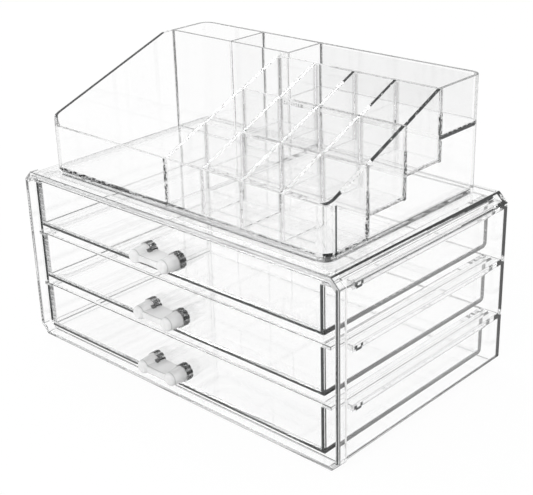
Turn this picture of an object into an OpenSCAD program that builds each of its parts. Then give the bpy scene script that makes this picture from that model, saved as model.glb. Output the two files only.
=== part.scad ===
// Clear two-piece cosmetics organiser: a cabinet with three drawers that carries a lift-off tray
// with twelve stepped lipstick slots, an open compartment and three deep bins.
// Millimetres, +Z up, +X to the right. The drawers open towards -Y.
// The origin is the middle of the cabinet's underside.

/* [Cabinet] */
// Width over the front frame
body_w = 238; // [190:1:300]
// Depth from the front frame's face to the back of the shell
body_d = 144; // [118:1:190]
// Height to the top of the front frame
body_h = 106; // [84:1:140]
// Wall of the cabinet's shell
shell_t = 2.2; // [1.6:0.1:3.2]
// Chamfer along the four long edges of the cabinet
edge_chamfer = 5.5; // [3.5:0.5:8]
// Depth of the frame round the cabinet's mouth
frame_depth = 5.5; // [3:0.5:10]
// How far the frame stands proud of the shell at the sides and the top
frame_proud = 0.8; // [0.4:0.1:1.5]
// Thickness of the panel that closes the back
back_t = 2.2; // [1.6:0.1:3.2]
// Thickness of the raised plate that locates the tray
plinth_t = 2; // [1.2:0.1:3]

/* [Runners] */
// Thickness of the ledges that carry the drawers
runner_t = 3; // [1.4:0.1:4]
// Distance from the cabinet's face to the front end of each ledge
runner_setback = 12; // [8:1:25]
// Length of the taper that leads a drawer onto its ledges
runner_lead = 6; // [2:1:10]

/* [Drawers] */
// Walls of a drawer
drawer_wall = 2.2; // [1.6:0.1:3]
// Front wall of a drawer
drawer_front_t = 2.4; // [1.8:0.1:3.4]
// Floor of a drawer
drawer_floor_t = 2; // [1.4:0.1:3]
// How far a closed drawer's face sits behind the frame's face
drawer_recess = 1.2; // [0.6:0.1:3]
// Thickness of the flanges that hang a drawer on its ledges
flange_t = 2; // [1.4:0.1:3]
// Width of the slot left at each side for a flange and its ledge
side_slot = 7.6; // [6.5:0.1:10]
// Radius of the corner between a drawer's floor and its back
drawer_corner_r = 3; // [2.5:0.5:9]

/* [Handles] */
// Distance between the two studs of a handle
stud_spacing = 21.6; // [16:0.2:30]
// Diameter of the collar that bears on the drawer front
collar_d = 10.2; // [8:0.2:14]
// Length of the collar
collar_l = 4.8; // [2:0.2:6]
// Diameter of a stud where it leaves its collar
stud_d = 9; // [7:0.2:12]
// Diameter of a stud's tip
stud_tip_d = 7.8; // [5:0.2:9]
// Length of a handle from the drawer's face to the tips
handle_l = 14.5; // [10:0.5:20]
// Height of the studs above the underside of the drawer
handle_rise = 12; // [9:0.5:16]
// Thickness of the flat web that joins the studs
web_t = 4.2; // [2.6:0.2:6]
// Space between the web and the drawer's face
web_gap = 1.2; // [0.8:0.1:3]
// Diameter of the pegs that pass through the drawer front
peg_d = 4; // [3:0.1:5]
// Diameter of a peg's head inside the drawer
peg_head_d = 6.4; // [5:0.1:8]
// Thickness of a peg's head
peg_head_t = 1.1; // [0.6:0.1:2]

/* [Tray] */
// Distance from each side of the cabinet to the tray
tray_side_inset = 16; // [9:0.5:24]
// Distance from the back of the frame to the tray
tray_front_inset = 4.5; // [1:0.5:14]
// Distance from the cabinet's back to the tray
tray_back_inset = 6; // [4:0.5:16]
// Height of the tray's front wall
tray_front_h = 29; // [22:1:40]
// Height of the tray's back wall
tray_back_h = 65; // [54:1:84]
// Outer walls of the tray
tray_wall = 2.2; // [1.6:0.1:3]
// Floor of the tray and of the raised slots
tray_floor_t = 2; // [1.4:0.1:3]
// Radius of the tray's upright corners
tray_corner_r = 7; // [5:0.5:12]
// Length of the round rise from the front wall to the left side wall
side_step = 2.6; // [1:0.2:5]

/* [Slots and bins] */
// Thickness of the dividers inside the tray
divider_t = 1.8; // [1.2:0.1:2.6]
// Clear width of a lipstick slot, side to side
slot_w = 25.4; // [20:0.2:31]
// Clear length of a lipstick slot, front to back
slot_l = 27.8; // [22:0.2:33.4]
// Clear depth of the deep bins, front to back
bin_l = 26.4; // [20:0.2:34]
// Share of the left-hand width that the outer deep bin takes
bin_split = 0.52; // [0.35:0.01:0.65]

/* [Fits] */
// Gap between pieces that are bonded together
bond_gap = 0.05; // [0.03:0.01:0.15]
// Gap under a drawer's flanges and between its sides and the ledges
run_gap = 0.3; // [0.2:0.05:0.6]
// Gap between a drawer's flanges and the shell
flange_gap = 0.4; // [0.3:0.05:0.8]
// Gap between the tray's skirt and the raised plate
tray_gap = 0.5; // [0.3:0.05:1]
// Gap between the tray and the faces that it stands on
seat_gap = 0.15; // [0.1:0.05:0.3]
// Gap round a handle's pegs
peg_gap = 0.1; // [0.05:0.05:0.2]
// Headroom above a drawer
headroom = 1.2; // [0.8:0.1:2.5]
// Space below a drawer
under_drawer = 3.3; // [1:0.1:6]
// Extra space below the lowest drawer
base_gap = 1.5; // [0:0.1:4]
// Space behind a closed drawer
behind_drawer = 3.3; // [1:0.1:8]

/* [Hidden] */
$fn = 64;
eps = 0.01;
drawer_count = 3;
slot_columns = 4;
slot_rows = 3;
NAMES = ["top", "mid", "low"];

// Cabinet
front_y = -body_d / 2;
back_y = body_d / 2;
shell_w = body_w - 2 * frame_proud;
shell_h = body_h - frame_proud;
inner_w = shell_w - 2 * shell_t;
inner_h = shell_h - 2 * shell_t;
inner_chamfer = edge_chamfer - shell_t * (2 - sqrt(2));
shell_front_y = front_y + frame_depth + bond_gap;
back_panel_y = back_y - back_t;

// Drawer bays, counted from the top
bay_h = (inner_h - base_gap) / drawer_count;
drawer_h = bay_h - headroom - under_drawer;
drawer_w = inner_w - 2 * side_slot;
drawer_y0 = front_y + drawer_recess;
drawer_y1 = back_panel_y - behind_drawer;
function drawer_top_z(i) = shell_t + inner_h - i * bay_h - headroom;
function drawer_z(i) = drawer_top_z(i) - drawer_h;

// The drawers are all alike, and the top one's flanges keep clear of the shell's upper chamfers
chamfer_start_z = shell_t + inner_h - inner_chamfer;
flange_x = inner_w / 2 - max(0, drawer_top_z(0) - chamfer_start_z) - flange_gap;

// Runners
runner_y0 = front_y + runner_setback;
runner_y1 = back_panel_y - bond_gap;
runner_x0 = drawer_w / 2 + 2 * run_gap;
runner_x1 = inner_w / 2 - bond_gap;
function runner_top_z(i) = drawer_top_z(i) - flange_t - run_gap;

// Tray
tray_w = body_w - 2 * tray_side_inset;
tray_y0 = front_y + frame_depth + tray_front_inset;
tray_y1 = back_y - tray_back_inset;
tray_d = tray_y1 - tray_y0;
tray_z = shell_h + seat_gap;
plinth_z = shell_h + bond_gap;
plinth_top_z = plinth_z + plinth_t;
floor_z = plinth_top_z + seat_gap;
floor_top_z = floor_z + tray_floor_t;
front_top_z = tray_z + tray_front_h;
back_top_z = tray_z + tray_back_h;
in_x = tray_w / 2 - tray_wall;
in_y0 = tray_y0 + tray_wall;
in_y1 = tray_y1 - tray_wall;
in_r = tray_corner_r - tray_wall;

// Slots step up towards the back by the same rise as the dividers' sloping top
slot_rise = (back_top_z - front_top_z) / slot_rows;
column_pitch = slot_w + divider_t;
row_pitch = slot_l + divider_t;
function divider_x(i) = in_x - (slot_columns - i) * column_pitch + divider_t / 2;
function row_y(i) = in_y0 + (i + 1) * row_pitch - divider_t / 2;
function row_start_y(i) = i == 0 ? in_y0 : row_y(i - 1) + divider_t / 2;
function row_end_y(i) = row_y(i) - divider_t / 2;
function step_z(i) = floor_z + i * slot_rise;
function row_top_z(i) = front_top_z + i * slot_rise;
rear_y = row_y(slot_rows - 1);

// Side view of the dividers' top: it slopes up along each row and is level over each cross wall
RACK_TOP = [
    for (i = [0 : slot_rows - 1], k = [0, 1])
        [k == 0 ? row_start_y(i) : row_end_y(i), row_top_z(i + k)]
];
rack_x = divider_x(0);
bin_front_y = in_y1 - bin_l - divider_t / 2;
bin_room = rack_x - divider_t / 2 + in_x;
bin_x = -in_x + bin_split * bin_room;

// ---- outlines -------------------------------------------------------------------------------

// Rectangle on the XZ plane with equal chamfers, standing on z
module chamfered(w, h, c, z = 0) {
    polygon([
        [-w / 2 + c, z], [w / 2 - c, z], [w / 2, z + c], [w / 2, z + h - c],
        [w / 2 - c, z + h], [-w / 2 + c, z + h], [-w / 2, z + h - c], [-w / 2, z + c]
    ]);
}

// Rectangle between two corners with round corners of true arcs
module rounded(x0, y0, x1, y1, r) {
    translate([x0 + r, y0]) square([x1 - x0 - 2 * r, y1 - y0]);
    translate([x0, y0 + r]) square([x1 - x0, y1 - y0 - 2 * r]);
    for (x = [x0 + r, x1 - r], y = [y0 + r, y1 - r]) translate([x, y]) circle(r);
}

// Stands an XZ outline up between two places on Y
module along_y(y0, y1) {
    translate([0, y1, 0]) rotate([90, 0, 0]) linear_extrude(y1 - y0) children();
}

// Stands a YZ outline up between two places on X
module along_x(x0, x1) {
    translate([x0, 0, 0]) rotate([90, 0, 90]) linear_extrude(x1 - x0) children();
}

// Box between two corners
module block(low, high) {
    translate(low) cube(high - low);
}

module shell_bore() {
    chamfered(inner_w, inner_h, inner_chamfer, shell_t);
}

// ---- cabinet --------------------------------------------------------------------------------

module case_shell() {
    color("AliceBlue", 0.5) along_y(shell_front_y, back_y) difference() {
        chamfered(shell_w, shell_h, edge_chamfer);
        shell_bore();
    }
}

module front_frame() {
    color("LightSteelBlue", 0.6) along_y(front_y, front_y + frame_depth) difference() {
        chamfered(body_w, body_h, edge_chamfer);
        shell_bore();
    }
}

module back_panel() {
    color("LightCyan", 0.5) along_y(back_panel_y, back_y) chamfered(
        inner_w - 2 * bond_gap, inner_h - 2 * bond_gap, inner_chamfer, shell_t + bond_gap
    );
}

module top_plinth() {
    inset = tray_wall + tray_gap;
    color("Lavender", 0.6) translate([0, 0, plinth_z]) linear_extrude(plinth_t) rounded(
        -tray_w / 2 + inset, tray_y0 + inset, tray_w / 2 - inset, tray_y1 - inset,
        tray_corner_r - inset
    );
}

// Ledge on the inside of a side wall, tapered at the front to lead the drawer in
module runner(i, side) {
    top = runner_top_z(i);
    mirror([side < 0 ? 1 : 0, 0, 0]) color("SkyBlue", 0.6) intersection() {
        translate([0, 0, top - runner_t]) linear_extrude(runner_t) polygon([
            [runner_x1, runner_y0], [runner_x1, runner_y1], [runner_x0, runner_y1],
            [runner_x0, runner_y0 + runner_lead], [(runner_x0 + runner_x1) / 2, runner_y0]
        ]);
        along_y(runner_y0 - 1, runner_y1 + 1) chamfered(
            inner_w - 2 * bond_gap, inner_h - 2 * bond_gap, inner_chamfer, shell_t + bond_gap
        );
    }
}

// ---- drawers --------------------------------------------------------------------------------

// Side view of a drawer, with a round corner between floor and back
module drawer_side(z, inset, floor_t, front_t, top) {
    r = drawer_corner_r - inset;
    y0 = drawer_y0 + front_t;
    y1 = drawer_y1 - inset;
    z0 = z + floor_t;
    translate([y0, z0]) square([y1 - r - y0, top - z0]);
    translate([y1 - r - eps, z0 + r]) square([r + eps, top - z0 - r]);
    translate([y1 - r, z0 + r]) circle(r);
}

module drawer_box(i) {
    z = drawer_z(i);
    top = drawer_top_z(i);
    color("Azure", 0.5) difference() {
        union() {
            along_x(-drawer_w / 2, drawer_w / 2) drawer_side(z, 0, 0, 0, top);
            block([-flange_x, drawer_y0, top - flange_t], [flange_x, drawer_y1, top]);
        }
        along_x(-drawer_w / 2 + drawer_wall, drawer_w / 2 - drawer_wall) drawer_side(
            z, drawer_wall, drawer_floor_t, drawer_front_t, top + 1
        );
        for (x = [-stud_spacing / 2, stud_spacing / 2])
            translate([x, drawer_y0 - 1, z + handle_rise]) rotate([-90, 0, 0])
                cylinder(h = drawer_front_t + 2, d = peg_d + 2 * peg_gap);
    }
}

// One stud on the -Y axis, with its collar, tapered body and the peg that holds it
module stud() {
    lip = 0.6;
    peg_l = drawer_front_t + bond_gap;
    rotate([90, 0, 0]) rotate_extrude() polygon([
        [0, handle_l], [stud_tip_d / 2 - lip, handle_l], [stud_tip_d / 2, handle_l - lip],
        [stud_d / 2, collar_l], [collar_d / 2 - lip, collar_l], [collar_d / 2, collar_l - lip],
        [collar_d / 2, 0], [peg_d / 2, 0], [peg_d / 2, -peg_l], [peg_head_d / 2, -peg_l],
        [peg_head_d / 2 - lip, -peg_l - peg_head_t], [0, -peg_l - peg_head_t]
    ]);
}

// Web between the studs, waisted above and below so that fingertips find it
module web() {
    waist = 0.6;
    tip_inset = 1.2;
    chord = stud_spacing / 2;
    waist_r = (chord * chord + waist * waist) / (2 * waist);
    along_y(-handle_l + tip_inset, -web_gap) difference() {
        translate([-chord, -web_t / 2]) square([2 * chord, web_t]);
        for (s = [-1, 1])
            translate([0, s * (web_t / 2 - waist + waist_r)]) circle(waist_r, $fn = 128);
    }
}

module handle(i) {
    color("GhostWhite", 0.8)
        translate([0, drawer_y0 - bond_gap, drawer_z(i) + handle_rise]) {
            for (x = [-stud_spacing / 2, stud_spacing / 2]) translate([x, 0, 0]) stud();
            web();
        }
}

// ---- tray -----------------------------------------------------------------------------------

// Side view of the tray, with the given line for the top of its side wall
module tray_side(top_line) {
    polygon(concat(
        [[tray_y0 - 1, front_top_z], [tray_y0 - 1, tray_z - 1], [tray_y1 + 1, tray_z - 1]],
        [[tray_y1 + 1, back_top_z], [rear_y, back_top_z]],
        [for (i = [len(top_line) - 1 : -1 : 0]) top_line[i]]
    ));
}

// The left side wall rises round the corner from the front wall, and then slopes up to the rear
LEFT_TOP = [
    [in_y0, front_top_z], [in_y0 + side_step / 3, front_top_z + 1.4 * side_step],
    [in_y0 + side_step, front_top_z + 2 * side_step]
];

// The floor is open below the raised slots and the bin behind them, and so is the underside
module tray_shell() {
    x = tray_w / 2;
    color("WhiteSmoke", 0.5) intersection() {
        difference() {
            translate([0, 0, tray_z]) linear_extrude(tray_back_h)
                rounded(-x, tray_y0, x, tray_y1, tray_corner_r);
            translate([0, 0, floor_top_z]) linear_extrude(tray_back_h)
                rounded(-in_x, in_y0, in_x, in_y1, in_r);
            translate([0, 0, tray_z - 1]) linear_extrude(floor_z - tray_z + 1)
                rounded(-in_x, in_y0, in_x, in_y1, in_r);
            translate([0, 0, tray_z]) linear_extrude(floor_top_z - tray_z + 1) intersection() {
                rounded(-in_x, in_y0, in_x, in_y1, in_r);
                translate([rack_x + divider_t / 2, row_start_y(1)]) square([tray_w, tray_d]);
            }
        }
        union() {
            along_x(-x - 1, rack_x) tray_side(LEFT_TOP);
            along_x(rack_x - eps, x + 1) tray_side(RACK_TOP);
        }
    }
}

// Divider that closes the left side of the slots and runs on to the back wall
module rack_side() {
    y0 = in_y0 + bond_gap;
    y1 = in_y1 - bond_gap;
    z0 = floor_top_z + bond_gap;
    color("Gainsboro", 0.6) along_x(rack_x - divider_t / 2, rack_x + divider_t / 2)
        intersection() {
            translate([y0, z0]) square([y1 - y0, back_top_z - z0]);
            tray_side(RACK_TOP);
        }
}

// Divider between two columns of slots, stepped below to follow their floors
module rack_divider(i) {
    y0 = in_y0 + bond_gap;
    y1 = row_end_y(slot_rows - 1) - bond_gap;
    z0 = floor_top_z + bond_gap;
    x = divider_x(i);
    color("Gainsboro", 0.6) along_x(x - divider_t / 2, x + divider_t / 2) difference() {
        intersection() {
            translate([y0, z0]) square([y1 - y0, back_top_z - z0]);
            tray_side(RACK_TOP);
        }
        for (k = [1 : slot_rows - 1])
            translate([row_start_y(k), z0 - 1]) square([tray_d, step_z(k) - z0 + 1]);
    }
}

// Places one piece in each column of slots, clear of the dividers
module each_column() {
    for (i = [0 : slot_columns - 1])
        translate([divider_x(i) + divider_t / 2 + bond_gap, 0, 0]) children();
}

// Lower edge of a cross wall: the front one stands on the tray's floor, and each other one is
// level with the underside of the raised floor in front of it
function wall_foot_z(i) = i == 0 ? floor_top_z + bond_gap : step_z(i);

// Cross wall between two rows of slots, one plate to a column
module row_wall(i) {
    color("Silver", 0.6) each_column() block(
        [0, row_end_y(i), wall_foot_z(i)],
        [slot_w - 2 * bond_gap, row_start_y(i + 1), row_top_z(i + 1)]
    );
}

// Wall behind the last row of slots, in one piece across all columns
module row_wall_rear() {
    x0 = rack_x + divider_t / 2 + bond_gap;
    color("Silver", 0.6) block(
        [x0, row_end_y(slot_rows - 1), wall_foot_z(slot_rows - 1)],
        [in_x - bond_gap, row_start_y(slot_rows), back_top_z]
    );
}

// Raised floors of one row of slots
module slot_floor(i) {
    y0 = row_start_y(i) + bond_gap;
    y1 = row_end_y(i) - bond_gap;
    color("PowderBlue", 0.6) each_column()
        block([0, y0, step_z(i)], [slot_w - 2 * bond_gap, y1, step_z(i) + tray_floor_t]);
}

// Raised floor of the long bin behind the slots, cut to the tray's round corner
module back_bin_floor() {
    x0 = rack_x + divider_t / 2 + bond_gap;
    y0 = row_start_y(slot_rows) + bond_gap;
    color("PowderBlue", 0.6) translate([0, 0, step_z(slot_rows)]) linear_extrude(tray_floor_t)
        intersection() {
            translate([x0, y0]) square([in_x - x0, in_y1 - y0]);
            rounded(
                -in_x + bond_gap, in_y0 + bond_gap, in_x - bond_gap, in_y1 - bond_gap,
                in_r - bond_gap
            );
        }
}

// Wall in front of the two deep bins
module bin_front() {
    x1 = rack_x - divider_t / 2 - bond_gap;
    color("Thistle", 0.6) block(
        [-in_x + bond_gap, bin_front_y - divider_t / 2, floor_top_z + bond_gap],
        [x1, bin_front_y + divider_t / 2, back_top_z]
    );
}

// Wall between the two deep bins
module bin_divider() {
    color("Thistle", 0.6) block(
        [bin_x - divider_t / 2, bin_front_y + divider_t / 2 + bond_gap, floor_top_z + bond_gap],
        [bin_x + divider_t / 2, in_y1 - bond_gap, back_top_z]
    );
}

case_shell();
front_frame();
back_panel();
top_plinth();
for (i = [0 : drawer_count - 1]) {
    runner(i, -1);
    runner(i, 1);
    drawer_box(i);
    handle(i);
}
tray_shell();
rack_side();
for (i = [1 : slot_columns - 1])
    rack_divider(i);
row_wall(0);  // row_wall_front
row_wall(1);  // row_wall_middle
row_wall_rear();
slot_floor(1);  // slot_floor_middle
slot_floor(2);  // slot_floor_rear
back_bin_floor();
bin_front();
bin_divider();
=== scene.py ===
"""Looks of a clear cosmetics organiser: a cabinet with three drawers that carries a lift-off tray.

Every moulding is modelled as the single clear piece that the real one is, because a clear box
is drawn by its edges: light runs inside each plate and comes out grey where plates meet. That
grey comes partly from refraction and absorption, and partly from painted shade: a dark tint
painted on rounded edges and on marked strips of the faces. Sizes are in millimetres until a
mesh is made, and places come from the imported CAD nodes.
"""
import logging
import math
from contextlib import contextmanager
from dataclasses import dataclass, field
from enum import Enum
from typing import Callable, Iterable, Iterator, Sequence

import bmesh
import bpy
from mathutils import Matrix, Vector


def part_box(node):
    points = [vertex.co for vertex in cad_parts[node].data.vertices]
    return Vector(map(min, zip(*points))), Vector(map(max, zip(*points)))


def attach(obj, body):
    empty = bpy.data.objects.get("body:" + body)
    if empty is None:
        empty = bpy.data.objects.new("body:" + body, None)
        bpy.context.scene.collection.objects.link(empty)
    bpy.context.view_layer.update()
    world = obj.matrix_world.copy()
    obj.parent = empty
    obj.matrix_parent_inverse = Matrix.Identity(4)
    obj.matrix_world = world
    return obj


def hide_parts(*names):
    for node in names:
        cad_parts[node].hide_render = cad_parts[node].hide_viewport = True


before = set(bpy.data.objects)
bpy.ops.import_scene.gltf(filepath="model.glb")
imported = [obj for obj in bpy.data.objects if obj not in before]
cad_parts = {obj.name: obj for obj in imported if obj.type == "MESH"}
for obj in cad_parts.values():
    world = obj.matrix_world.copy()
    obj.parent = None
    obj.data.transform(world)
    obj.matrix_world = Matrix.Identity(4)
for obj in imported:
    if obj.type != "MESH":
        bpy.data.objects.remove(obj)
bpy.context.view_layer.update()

IMAGE_WIDTH_PX = 533
# One millimetre in Blender's metres.
MM = 0.001
# Air that the CAD leaves between bonded nodes, and how far a mark reaches past a flat face.
BOND_GAP = 0.05
SKIN = 0.05
# How far a cutting solid reaches past what it cuts, and how far a mark's box reaches into air.
PAST = 5.0
AIR = 1.0
# Faces that turn more than this meet in an edge that stays sharp.
SHARP = math.radians(60)
LEVELS = ("top", "mid", "low")

LOG = logging.getLogger("organiser")

Point2 = tuple[float, float]
Point3 = tuple[float, float, float]
Span = tuple[float, float]
Outline = list[Point2]


class Axis(Enum):
    """Direction that an outline is pushed along, with the two axes it is drawn on."""

    X = (0, 1, 2)
    Y = (1, 0, 2)
    Z = (2, 0, 1)


class Cut(Enum):
    """What a solid does to the one that it is combined with."""

    REMOVE = "DIFFERENCE"
    JOIN = "UNION"
    TRIM = "INTERSECT"


class Side(Enum):
    """Left or right, as the drawers are faced."""

    LEFT = -1
    RIGHT = 1


class Mark(Enum):
    """Face attribute of painted shade that a finish reads: on a rounded edge, or along the joint of two
    plates.
    """

    EDGE = "edge"
    SEAM = "seam"


# ---- nodes ----------------------------------------------------------------------------------

# Places of the two colour inputs and of the colour output on a Mix node.
MIX_FIRST, MIX_SECOND, MIX_RESULT = 6, 7, 2


def srgb(code: str) -> tuple[float, float, float, float]:
    """Turns a colour code such as #E8EEF0 into linear values.

    Args:
        code: six hexadecimal digits after a hash sign.

    Returns:
        Linear red, green, blue and an alpha of one.
    """
    channels = [int(code[i : i + 2], 16) / 255 for i in (1, 3, 5)]
    linear = [c / 12.92 if c <= 0.04045 else ((c + 0.055) / 1.055) ** 2.4 for c in channels]
    return (linear[0], linear[1], linear[2], 1.0)


def add(tree: bpy.types.NodeTree, kind: str, inputs: dict | None = None, **settings) -> bpy.types.Node:
    """Adds a node, sets its options and fills its inputs.

    Args:
        tree: the node tree that gets the node.
        kind: the node's type name.
        inputs: for each input, by name or place, a value or the output that feeds it.
        **settings: the node's own options.

    Returns:
        The new node.
    """
    node = tree.nodes.new(kind)
    for name, value in settings.items():
        setattr(node, name, value)
    for key, value in (inputs or {}).items():
        if isinstance(value, bpy.types.NodeSocket):
            tree.links.new(value, node.inputs[key])
        else:
            node.inputs[key].default_value = value
    return node


# ---- finishes -------------------------------------------------------------------------------


@dataclass(frozen=True)
class ClearPlastic:
    """Clear moulded plastic: glossy, faintly wavy, grey through long sections, with painted shade on
    edges and seams.

    Attributes:
        name: the finish, by its common name and how it is made.
        tint: colour that is left after light has crossed the plate many times.
        density: how strongly a metre of it absorbs light.
        roughness: how much the skin scatters light.
        ior: refractive index of the plastic.
        clarity: share of the light that passes through and isn't scattered white.
        edge: painted shade on the rounded edges, for the dark parts of the room that they bend in.
        seam: painted shade where a plate ends inside another one and is seen along its length.
        fleck: share of a seam's painted shade left out in small bright flecks, which stand in for glints.
        fleck_mm: width of those flecks.
        wave_mm: width of the slow waves that the melt leaves on the skin.
        wave_depth_mm: height of those waves.
        grain_mm: width of the fine texture, or none where the mould was polished.
        grain_depth_mm: height of that texture.
    """

    name: str
    tint: str
    density: float
    roughness: float = 0.0
    ior: float = 1.59
    clarity: float = 1.0
    edge: str = "#3C4244"
    seam: str = "#040505"
    fleck: float = 0.0
    fleck_mm: float = 0.8
    wave_mm: float = 30.0
    wave_depth_mm: float = 0.0003
    grain_mm: float = 0.0
    grain_depth_mm: float = 0.0

    def make(self) -> bpy.types.Material:
        """Builds the material.

        Returns:
            A node material with a clear skin over an absorbing inside.
        """
        material = bpy.data.materials.new(self.name)
        material.use_nodes = True
        tree = material.node_tree
        tree.nodes.clear()
        place = add(tree, "ShaderNodeTexCoord").outputs["Object"]
        # Slow waves from the cooling melt, which bend what is seen through a flat wall a little.
        size = {"Vector": place, "Scale": 1 / (self.wave_mm * MM), "Detail": 1.0, "Roughness": 0.4}
        waves = add(tree, "ShaderNodeTexNoise", size)
        relief = {"Height": waves.outputs["Fac"], "Strength": 1.0, "Distance": self.wave_depth_mm * MM}
        skin = add(tree, "ShaderNodeBump", relief)
        if self.grain_mm:
            # Spark-eroded texture of the mould, drawn coarser than it is, so that the sheen shows.
            size = {"Vector": place, "Scale": 1 / (self.grain_mm * MM), "Detail": 2.0}
            grain = add(tree, "ShaderNodeTexNoise", size).outputs["Fac"]
            relief = {"Height": grain, "Strength": 1.0, "Distance": self.grain_depth_mm * MM}
            skin = add(tree, "ShaderNodeBump", {**relief, "Normal": skin.outputs["Normal"]})
        # Painted shade: rounded edges and inner corners get a grey tint and read as fine grey lines,
        # as they do on the real thing.
        rim = add(tree, "ShaderNodeAttribute", attribute_name=Mark.EDGE.value)
        share = {0: rim.outputs["Fac"], MIX_FIRST: srgb("#FFFFFF"), MIX_SECOND: srgb(self.edge)}
        edge_shaded = add(tree, "ShaderNodeMix", share, data_type="RGBA").outputs[MIX_RESULT]
        # Painted shade where plates meet: the joint is tinted dark, and in the tray that tint is left out
        # in small bright flecks, which stand in for glints.
        size = {"Vector": place, "Scale": 1 / (self.fleck_mm * MM), "Detail": 1.0}
        flecks = add(tree, "ShaderNodeTexNoise", size).outputs["Fac"]
        limits = {"From Min": 0.56, "From Max": 0.5, "To Min": 1.0 - self.fleck, "To Max": 1.0}
        seam_shade_kept = add(tree, "ShaderNodeMapRange", {"Value": flecks, **limits}).outputs["Result"]
        joint = add(tree, "ShaderNodeAttribute", attribute_name=Mark.SEAM.value)
        depth = add(tree, "ShaderNodeMath", {0: joint.outputs["Fac"], 1: seam_shade_kept}, operation="MULTIPLY")
        share = {0: depth.outputs[0], MIX_FIRST: edge_shaded, MIX_SECOND: srgb(self.seam)}
        colour = add(tree, "ShaderNodeMix", share, data_type="RGBA")
        surface = add(
            tree,
            "ShaderNodeBsdfPrincipled",
            {
                "Base Color": colour.outputs[MIX_RESULT],
                "Roughness": self.roughness,
                "IOR": self.ior,
                "Transmission Weight": self.clarity,
                "Normal": skin.outputs["Normal"],
            },
        )
        body = {"Color": srgb(self.tint), "Density": self.density}
        inside = add(tree, "ShaderNodeVolumeAbsorption", body).outputs["Volume"]
        add(tree, "ShaderNodeOutputMaterial", {"Surface": surface.outputs["BSDF"], "Volume": inside})
        return material


# Clear injection-moulded polystyrene: water-clear faces, and cool grey lines of painted shade where
# plates join.
CABINET_FINISH = ClearPlastic("clear injection-moulded polystyrene", "#30373B", 1.0, edge="#15181A")
# The drawers are the same plastic from another mould, with a slightly livelier skin.
DRAWER_FINISH = ClearPlastic("clear injection-moulded polystyrene, drawers", "#30373B", 1.0, wave_mm=24.0)
# The tray's thin walls are clearest of all, and its waves are shorter, from the many ribs.
# Its painted seam shade is broken by many bright flecks, which stand in for glints.
TRAY_FINISH = ClearPlastic(
    "clear injection-moulded polystyrene, tray", "#343B3F", 1.5, edge="#15181A", fleck=0.85, wave_mm=18.0
)
# Studs have a lightly frosted skin, so they look milky white against the clear drawer front.
HANDLE_FINISH = ClearPlastic(
    "frosted moulded polystyrene", "#E8ECEE", 3.0,
    roughness=0.05, clarity=0.4, edge="#3A4042", grain_mm=1.4, grain_depth_mm=0.05,
)  # fmt: skip
# The ribbed collars read as dark bands at the drawer: their body absorbs strongly, and their rib
# crests get a near-black painted shade for the light that the many small faces trap.
COLLAR_FINISH = ClearPlastic(
    "ribbed moulded polystyrene, dark at its edge", "#606668", 60.0,
    roughness=0.04, edge="#020202", wave_mm=2.5,
)  # fmt: skip


# ---- solids ---------------------------------------------------------------------------------


@dataclass(frozen=True)
class Extent:
    """Lowest and highest corner of something, in millimetres."""

    low: Vector
    high: Vector

    @classmethod
    def of(cls, *nodes: str) -> "Extent":
        """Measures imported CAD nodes.

        Args:
            *nodes: names of the nodes to take together.

        Returns:
            The box that holds them all.
        """
        boxes = [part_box(name) for name in nodes]
        return cls(
            Vector([min(box[0][i] for box in boxes) for i in range(3)]) / MM,
            Vector([max(box[1][i] for box in boxes) for i in range(3)]) / MM,
        )

    def plan(self) -> tuple[Point2, Point2]:
        """Gives both corners as they are seen from above."""
        return (self.low.x, self.low.y), (self.high.x, self.high.y)


@contextmanager
def editing(mesh: bpy.types.Mesh) -> Iterator[bmesh.types.BMesh]:
    """Opens a mesh for editing and writes it back.

    Args:
        mesh: the mesh.

    Yields:
        The mesh in its editable form.
    """
    shape = bmesh.new()
    shape.from_mesh(mesh)
    yield shape
    shape.to_mesh(mesh)
    shape.free()


def mesh_object(name: str, points: Iterable[Point3], faces: Iterable[Sequence[int]]) -> bpy.types.Object:
    """Makes an object at the origin from points in millimetres.

    Args:
        name: name of the object and its mesh.
        points: the corners.
        faces: the corners of each face.

    Returns:
        The object, linked to the scene, with its faces turned outward.
    """
    mesh = bpy.data.meshes.new(name)
    mesh.from_pydata([[c * MM for c in point] for point in points], [], [list(f) for f in faces])
    with editing(mesh) as shape:
        bmesh.ops.recalc_face_normals(shape, faces=shape.faces)
    thing = bpy.data.objects.new(name, mesh)
    bpy.context.scene.collection.objects.link(thing)
    return thing


def prism(name: str, outline: Outline, axis: Axis, low: float, high: float) -> bpy.types.Object:
    """Pushes an outline along an axis.

    Args:
        name: name of the object.
        outline: corners on the two other axes, in order.
        axis: the direction.
        low: where the solid starts on the axis.
        high: where it ends.

    Returns:
        A closed solid.
    """
    along, first, second = axis.value
    points: list[Point3] = []
    for level in (low, high):
        for a, b in outline:
            point = [0.0, 0.0, 0.0]
            point[along], point[first], point[second] = level, a, b
            points.append((point[0], point[1], point[2]))
    count = len(outline)
    faces = [list(range(count)), list(range(2 * count - 1, count - 1, -1))]
    faces += [[i, (i + 1) % count, count + (i + 1) % count, count + i] for i in range(count)]
    return mesh_object(name, points, faces)


def block(name: str, low: Point3, high: Point3) -> bpy.types.Object:
    """Makes a box, for cutting or joining.

    Args:
        name: name of the object.
        low: least corner.
        high: greatest corner.

    Returns:
        A closed solid.
    """
    outline = [(low[0], low[1]), (high[0], low[1]), (high[0], high[1]), (low[0], high[1])]
    return prism(name, outline, Axis.Z, low[2], high[2])


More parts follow.
